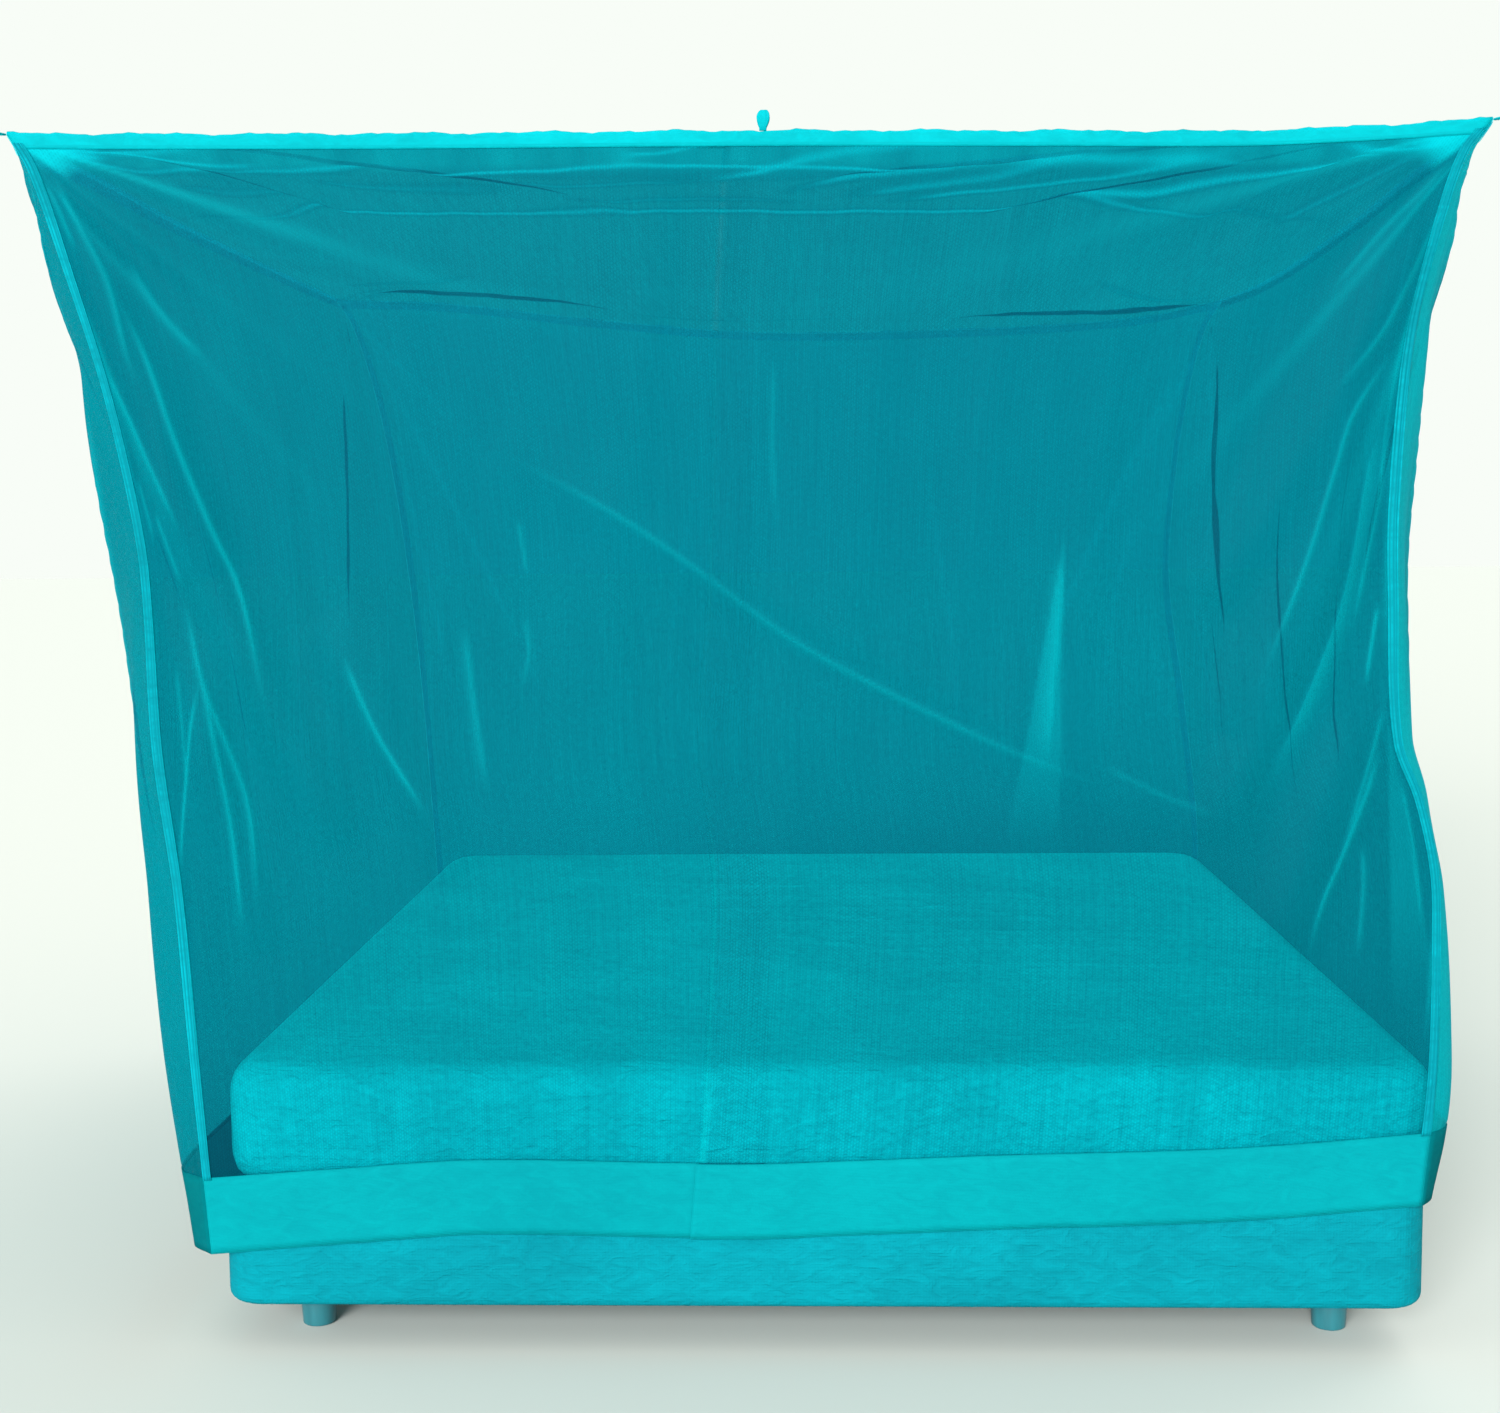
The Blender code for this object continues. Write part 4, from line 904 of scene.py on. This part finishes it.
border = {
    "frontFlat": {"left": 0.95, "right": 1.15},
    "otherFlat": 2.1,
    "height": 0.115,
    "thick": 0.0011,
    "grid": (150, 180, 10),  # columns of a front one and of another, rows
    "wave": 0.0014,
    "frontWave": 0.6,  # share of the waves where it hugs the bed
    "waveFade": 0.03,
    "waveCount": 2.1,
}


def borderWave(u, v, seed):
    # The band's small waves, none at its top edge and ends, where it is sewn on.
    fade = border["waveFade"]
    loose = ease((v - cut["borderTop"]) / fade) * between(u, fade, fade)
    return border["wave"] * loose * ripple(border["waveCount"] * u, v, seed)


def buildBorders():
    frontColumns, otherColumns, rowCount = border["grid"]
    rows = even(rowCount, cut["borderTop"], 1)
    for side, width in border["frontFlat"].items():
        def place(k, v):
            u = panelShare(side, k, v)
            outward = panelOutward(side, u, v) + border["frontWave"] * borderWave(u, v, 3)
            return wallPoint("front", u, v, outward), {}
        piece = clothGrid(f"frontBorder{side.capitalize()}", place, even(frontColumns), rows,
                          (width, mapDrop), "border", border["thick"])
        keep(piece, f"border_front_{side}")
    for seed, wall in enumerate(("left", "right", "back")):
        def place(u, v):
            share = sideShare(wall, u, cut["borderInset"])
            return wallPoint(wall, share, v, borderWave(u, v, seed)), {}
        width = border["otherFlat"]
        piece = clothGrid(f"{wall}Border", place, even(otherColumns), rows, (width, mapDrop), "sideBorder",
                          border["thick"])
        keep(piece, f"border_{wall}")


def outwardNormal(wall, u, v, step=0.004):
    # Unit vectors off the outside of a wall.
    along = wallPoint(wall, np.minimum(u + step, 1), v) - wallPoint(wall, np.maximum(u - step, 0), v)
    down = wallPoint(wall, u, np.maximum(v + step, 0)) - wallPoint(wall, u, np.maximum(v - step, 0))
    normal = np.cross(down, along)
    return normal / np.linalg.norm(normal, axis=1)[:, None]


binding = {
    # the folded tape's path over the seam: outwards from it and upwards, in millimetres
    "path": ((-13, 1.4), (-7, 1.6), (-2, 2.2), (0.2, 2.8), (1.6, 2.0), (1.9, 0.2)),
    "wallSteps": 5,
    "columns": 240,
    "flat": (2.1, 0.036),
    "thick": 0.0007,
    "seamShare": 0.006,  # where on the wall it takes its direction
    "fray": 0.0011,  # metres
    "frayReach": 3,  # millimetres
    "frayWaves": ((11.3, 0.8, 1), (23.9, 2.0, 0.8), (61.7, 0.4, 0.5), (97.1, 0, 0.4)),  # count, phase, share
}


def frayedEdge(u):
    # The uneven top edge of the binding, in metres.
    waves = (share * np.sin(2 * math.pi * u * count + phase) for count, phase, share in binding["frayWaves"])
    return binding["fray"] * sum(waves)


def buildBindings():
    path = np.array(binding["path"]) / 1000
    last = len(path) + binding["wallSteps"] - 1
    for wall in walls:
        def place(u, row):
            index = np.rint(row * last).astype(int)
            share = sideShare(wall, u)
            top = wallPoint(wall, share, np.zeros(len(u)))
            normal = outwardNormal(wall, share, np.full(len(u), binding["seamShare"]))
            flat = normal * (1, 1, 0)
            flat = flat / np.linalg.norm(flat, axis=1)[:, None]
            over = path[np.minimum(index, len(path) - 1)]
            mitre = 0.5 * np.minimum(u, 1 - u) * binding["flat"][0]
            shift = np.where(over[:, 0] < 0, -np.minimum(-over[:, 0], mitre), over[:, 0])
            fray = frayedEdge(u) * np.exp(-((over[:, 0] * 1000) / binding["frayReach"]) ** 2)
            roofSide = top + flat * shift[:, None] + np.column_stack([0 * u, 0 * u, over[:, 1] + fray])
            down = np.clip((index - len(path) + 1) / binding["wallSteps"], 0, 1) * cut["bindingDrop"]
            wallSide = wallPoint(wall, share, down) + normal * cut["layerStep"]
            return np.where((index < len(path) - 1)[:, None], roofSide, wallSide), {}
        # only the front one has a thickness: the sheer ones let light through as single sheets, and are drawn
        # lighter than the front one, painted light on their unlit inner side
        kind, thick = ("binding", binding["thick"]) if wall == "front" else ("sheerBindingPaintedLight", 0)
        piece = clothGrid(f"{wall}Binding", place, even(binding["columns"]), even(last), binding["flat"],
                          kind, thick)
        keep(piece, f"binding_{wall}")


tapes = {
    # corner: node, wall, where it starts on it, what it is sewn on
    "frontLeft": ("front_left", "front", 0, "frontNetLeft"),
    "frontRight": ("front_right", "front", 1 - cut["tapeShare"], "frontNetRight"),
    "rearRight": ("rear_right", "back", 0, "backNet"),
    "rearLeft": ("rear_left", "back", 1 - cut["tapeShare"], "backNet"),
}
tapeCut = {
    "flat": (0.018, 1.5),
    "thick": 0.0006,
    "grid": (10, 180),
    "ends": (0.00672, 0.93),  # shares of the drop: under the binding and behind the border
    "drawnIn": 0.1,  # share of its width that it is narrower, twice that at most
    "lift": 0.0008,  # height of its gathers
    "liftFade": 0.03,
    "off": 0.0006,  # over the other layers
}


def buildTapes():
    # Tapes down the corners, gathered into a few folds along their length.
    across, down = tapeCut["grid"]
    for corner, (node, wall, start, under) in tapes.items():
        def place(k, v):
            width = cut["tapeShare"] * (1 - tapeCut["drawnIn"] * (1 + np.sin(8.3 * v + 2 * start)))
            u = start + (cut["tapeShare"] - (1 - k) * width if start else k * width)
            puckers = np.sin(2 * math.pi * (2.5 * k + 0.5 * np.sin(9 * v + start)))
            puckers = puckers + 0.5 * np.sin(2 * math.pi * (4.2 * k + 3.1 * v))
            lift = tapeCut["lift"] * puckers * ease((cut["borderTop"] - v) / tapeCut["liftFade"])
            normal = outwardNormal(wall, np.full(len(u), start + cut["tapeShare"] / 2), v)
            return wallPoint(wall, u, v) + normal * (cut["layerStep"] + tapeCut["off"] + lift)[:, None], {}
        # the back tapes take the lighter sheer tape: painted light on their unlit inner side
        kind, thick = ("tape", tapeCut["thick"]) if wall == "front" else ("sheerBindingPaintedLight", 0)
        width = tapeCut["flat"][0]
        piece = clothGrid(f"{corner}Tape", place, even(across), even(down, *tapeCut["ends"]),
                          (width, mapDrop), kind, thick)
        keep(piece, f"corner_tape_{node}")


tapeLoop = {
    "x": 0.026,  # where it stands on the front binding
    "foot": 0.0026,  # over the seam
    "length": 0.0275,
    "halfDepth": 0.0055,
    "narrowing": 0.3,
    "lean": 0.0015,
    # share of its height, width in millimetres: it stands on a pinched neck and ends round
    "widths": ((0, 10), (0.15, 10.5), (0.35, 15), (0.6, 18), (0.8, 16.5), (0.93, 12), (1, 8)),
    "grid": (48, 6),
    "flat": (0.066, 0.016),
    "thick": 0.0011,
}


def buildTapeLoop():
    left, right = corners["frontLeft"][-1][1], corners["frontRight"][-1][1]
    at, seam = np.array([(tapeLoop["x"] - left) / (right - left)]), np.array([binding["seamShare"]])
    root = wallPoint("front", at, np.zeros(1)) + outwardNormal("front", at, seam) * cut["layerStep"]

    def place(k, side):
        turn = 2 * math.pi * k
        height = (1 - np.cos(turn)) / 2
        depth = tapeLoop["halfDepth"] * np.sin(turn) * (1 - tapeLoop["narrowing"] * np.cos(turn))
        across = (side - 0.5) * tableAt(tapeLoop["widths"], height)[..., 0] / 1000
        up = tapeLoop["foot"] + tapeLoop["length"] * height
        return root + np.column_stack([across + tapeLoop["lean"] * height ** 2, depth, up]), {}
    around, wide = tapeLoop["grid"]
    piece = clothGrid("frontLoop", place, even(around), even(wide), tapeLoop["flat"], "binding",
                      tapeLoop["thick"], closed=True)
    keep(piece, "hanging_loop_front")


cordLoop = {
    "length": 0.034,
    "halfWidth": 0.007,
    "narrowing": 0.35,
    "off": (0.0018, 0.0032),  # its root, outwards from the corner in X and Y
    "points": 160,
    "strandRadius": 0.00088,
    "strandOffset": 0.00062,
    "strandTurns": 11,
}


def buildCordLoops():
    # a cord of two twisted strands, drawn into a loop at each roof corner
    turn = np.linspace(0, 2 * math.pi, cordLoop["points"], endpoint=False)
    run = cordLoop["length"] * (1 - np.cos(turn)) / 2
    side = cordLoop["halfWidth"] * np.sin(turn) * (1 - cordLoop["narrowing"] * np.cos(turn))
    for corner, (node, *_) in tapes.items():
        z, x, y = corners[corner][-1]
        out = np.array([math.copysign(1, x), math.copysign(1, y), 0])
        root = np.array([x, y, z]) + out * (*cordLoop["off"], 0)
        along, across = out / math.sqrt(2), np.array([-out[1], out[0], 0]) / math.sqrt(2)
        middle = root + run[:, None] * along + side[:, None] * across
        ahead = np.roll(middle, -1, axis=0) - np.roll(middle, 1, axis=0)
        ahead /= np.linalg.norm(ahead, axis=1)[:, None]
        beside = np.cross(ahead, (0, 0, 1))
        bpy.ops.object.select_all(action="DESELECT")
        for phase in (0, math.pi):
            angle = cordLoop["strandTurns"] * turn[:, None] + phase
            path = middle + cordLoop["strandOffset"] * (np.cos(angle) * beside + np.sin(angle) * (0, 0, 1))
            curve = bpy.data.curves.new("strand", "CURVE")
            curve.dimensions, curve.bevel_depth, curve.bevel_resolution = "3D", cordLoop["strandRadius"], 2
            spline = curve.splines.new("POLY")
            spline.points.add(len(path) - 1)
            for point, spot in zip(spline.points, path):
                point.co = (*spot, 1)
            spline.use_cyclic_u = True
            strand = bpy.data.objects.new("strand", curve)
            bpy.context.scene.collection.objects.link(strand)
            strand.select_set(True)
        bpy.context.view_layer.objects.active = strand
        bpy.ops.object.convert(target="MESH")
        bpy.ops.object.join()
        piece = bpy.context.object
        piece.name = piece.data.name = f"{corner}CordLoop"
        bpy.ops.object.shade_smooth()
        piece.data.materials.clear()
        piece.data.materials.append(materials["binding"])
        keep(piece, f"hanging_loop_{node}")


bed = {
    # lowest and highest corner, as in the frame, upright corners' radius, rims' radius
    "mattress": ((-0.814, -0.9935, 0.2453), (1.022, 0.952, 0.436), 0.09, 0.045),
    "base": ((-0.815, -0.9976, 0.07), (1.003, 0.95, 0.245), 0.06, 0.015),
    "voxel": 0.014,
    "crown": 0.012,
    # heights of the cover's wrinkles, of the slanted ones and of the dents
    "wrinkle": 0.005,
    "slantedWrinkle": 0.0045,
    "dent": 0.002,
    "wrinkleSpacing": (0.145, 0.21),
    "footTop": 0.03,
    "footBottom": 0.0255,
    "footInset": 0.12,
    "footHeight": 0.0697,
    "footRim": 0.0022,
}


def selectEdges(mesh, wanted):
    bpy.ops.object.mode_set(mode="EDIT")
    bpy.ops.mesh.select_mode(type="EDGE")
    bpy.ops.object.mode_set(mode="OBJECT")
    for part in (mesh.vertices, mesh.edges, mesh.polygons):
        part.foreach_set("select", [False] * len(part))
    for edge in mesh.edges:
        edge.select = wanted(*(mesh.vertices[k].co for k in edge.vertices))
    bpy.ops.object.mode_set(mode="EDIT")


def roundedBlock(name, low, high, corner, rim):
    low, high = Vector(low), Vector(high)
    bpy.ops.object.select_all(action="DESELECT")
    bpy.ops.mesh.primitive_cube_add(size=1, location=(low + high) / 2, scale=high - low)
    made = bpy.context.object
    made.name = made.data.name = name
    bpy.ops.object.transform_apply(location=True, rotation=True, scale=True)
    selectEdges(made.data, lambda a, b: abs(a.z - b.z) > 0.01)
    bpy.ops.mesh.bevel(offset=corner, segments=10, affect="EDGES")
    selectEdges(made.data, lambda a, b: abs(a.z - b.z) < 1e-5 and (
        min(a.z, b.z) < low.z + 1e-5 or max(a.z, b.z) > high.z - 1e-5))
    bpy.ops.mesh.bevel(offset=rim, segments=5, affect="EDGES")
    bpy.ops.object.mode_set(mode="OBJECT")
    return made


def crownAndWrinkles(places):
    # Lift of the crown, and of the soft wrinkles of a cover that has been lain on and smoothed by hand.
    # The waves' lengths and phases are chosen.
    low, high = np.array(bed["mattress"][:2])
    x, y, z = places.T
    across, along, up = (2 * (places - low) / (high - low) - 1).T
    inner = np.clip(1 - across ** 2, 0, 1) * np.clip(1 - along ** 2, 0, 1)
    straight, slant = bed["wrinkleSpacing"]
    drift = 0.10 * np.sin(1.9 * x + 0.7) + 0.05 * np.sin(5.3 * x + 2.0) + 0.03 * np.sin(3.1 * y)
    wrinkles = np.exp(-8 * np.abs(np.sin(math.pi * (y + drift) / straight)))
    wrinkles = wrinkles * (0.5 + 0.5 * np.sin(3.7 * x + 4 * y))
    slanted = np.exp(-9 * np.abs(np.sin(math.pi * (0.6 * x + 0.8 * y + 0.5 * drift) / slant)))
    slanted = slanted * np.clip(np.sin(2.3 * x - 3.1 * y + 1), 0, 1)
    dents = np.sin(7.1 * x + 1.2 * np.sin(4 * y)) * np.sin(6.3 * y + 0.9 * np.sin(5 * x))
    soft = bed["wrinkle"] * wrinkles + bed["slantedWrinkle"] * slanted + bed["dent"] * dents
    return ease(0.7 * up + 0.3) * (bed["crown"] * inner + soft * np.sqrt(inner))


def buildBed():
    mattress = roundedBlock("mattressCover", *bed["mattress"])
    remesh = mattress.modifiers.new("evenFaces", "REMESH")
    remesh.mode, remesh.voxel_size = "VOXEL", bed["voxel"]
    bpy.ops.object.modifier_apply(modifier=remesh.name)
    places = np.empty(len(mattress.data.vertices) * 3, np.float32)
    mattress.data.vertices.foreach_get("co", places)
    places = places.reshape(-1, 3).astype(float)
    places[:, 2] += crownAndWrinkles(places)
    mattress.data.vertices.foreach_set("co", places.astype(np.float32).ravel())
    mattress.data.update()
    bpy.ops.object.shade_smooth()
    mattress.data.materials.append(materials["mattress"])
    keep(mattress, "mattress")
    base = roundedBlock("baseCover", *bed["base"])
    bpy.ops.object.shade_smooth_by_angle(angle=math.radians(40))
    base.data.materials.append(materials["base"])
    keep(base, "bed_base")
    low, high = bed["base"][:2]
    for corner, (node, *_) in tapes.items():
        x = high[0] - bed["footInset"] if "Right" in corner else low[0] + bed["footInset"]
        y = high[1] - bed["footInset"] if "rear" in corner else low[1] + bed["footInset"]
        bpy.ops.object.select_all(action="DESELECT")
        bpy.ops.mesh.primitive_cone_add(
            vertices=56, radius1=bed["footBottom"], radius2=bed["footTop"], depth=bed["footHeight"],
            location=(x, y, bed["footHeight"] / 2))
        foot = bpy.context.object
        foot.name = foot.data.name = f"{corner}Foot"
        bpy.ops.object.transform_apply(location=True, rotation=True, scale=True)
        selectEdges(foot.data, lambda a, b: abs(a.z - b.z) < 1e-5)
        bpy.ops.mesh.bevel(offset=bed["footRim"], segments=4, affect="EDGES")
        bpy.ops.object.mode_set(mode="OBJECT")
        bpy.ops.object.shade_smooth_by_angle(angle=math.radians(30))
        foot.data.materials.append(materials["feet"])
        keep(foot, f"bed_foot_{node}")


buildFrontNets()
print("front netting hung")
buildOtherNets()
print("side, back and roof netting hung")
buildBorders()
buildBindings()
buildTapes()
print("borders, bindings and tapes sewn on")
buildTapeLoop()
buildCordLoops()
print("loops made")
buildBed()
print("bed made")


def stageFloor():
    bpy.ops.object.select_all(action="DESELECT")
    bpy.ops.mesh.primitive_plane_add(size=studio["floorSize"], location=(0, 0, -0.0005))
    floor = bpy.context.object
    floor.name = "studioFloor"
    made, tree = newMaterial("paleFloor")
    shader = addNode(tree, "BsdfPrincipled", {
        "Base Color": colour(studio["floorColour"]), "Roughness": 1, "Specular IOR Level": 0})
    addNode(tree, "OutputMaterial", {"Surface": shader})
    floor.data.materials.append(made)


def stageLights():
    world = bpy.data.worlds.new("softStudio")
    world.use_nodes = True
    world.node_tree.nodes["Background"].inputs["Color"].default_value = colour(studio["background"])
    world.node_tree.nodes["Background"].inputs["Strength"].default_value = studio["worldStrength"]
    bpy.context.scene.world = world
    for name, place, strength, width in studio["suns"]:
        data = bpy.data.lights.new(name, "SUN")
        data.energy, data.angle = strength, math.radians(width)
        lamp = bpy.data.objects.new(name, data)
        bpy.context.scene.collection.objects.link(lamp)
        lamp.location = place
        lamp.rotation_euler = Vector(place).to_track_quat("Z", "Y").to_euler()


stageFloor()
stageLights()
bpy.context.scene.view_settings.view_transform = "Standard"
bpy.context.scene.cycles.transparent_max_bounces = 32
print("studio set")
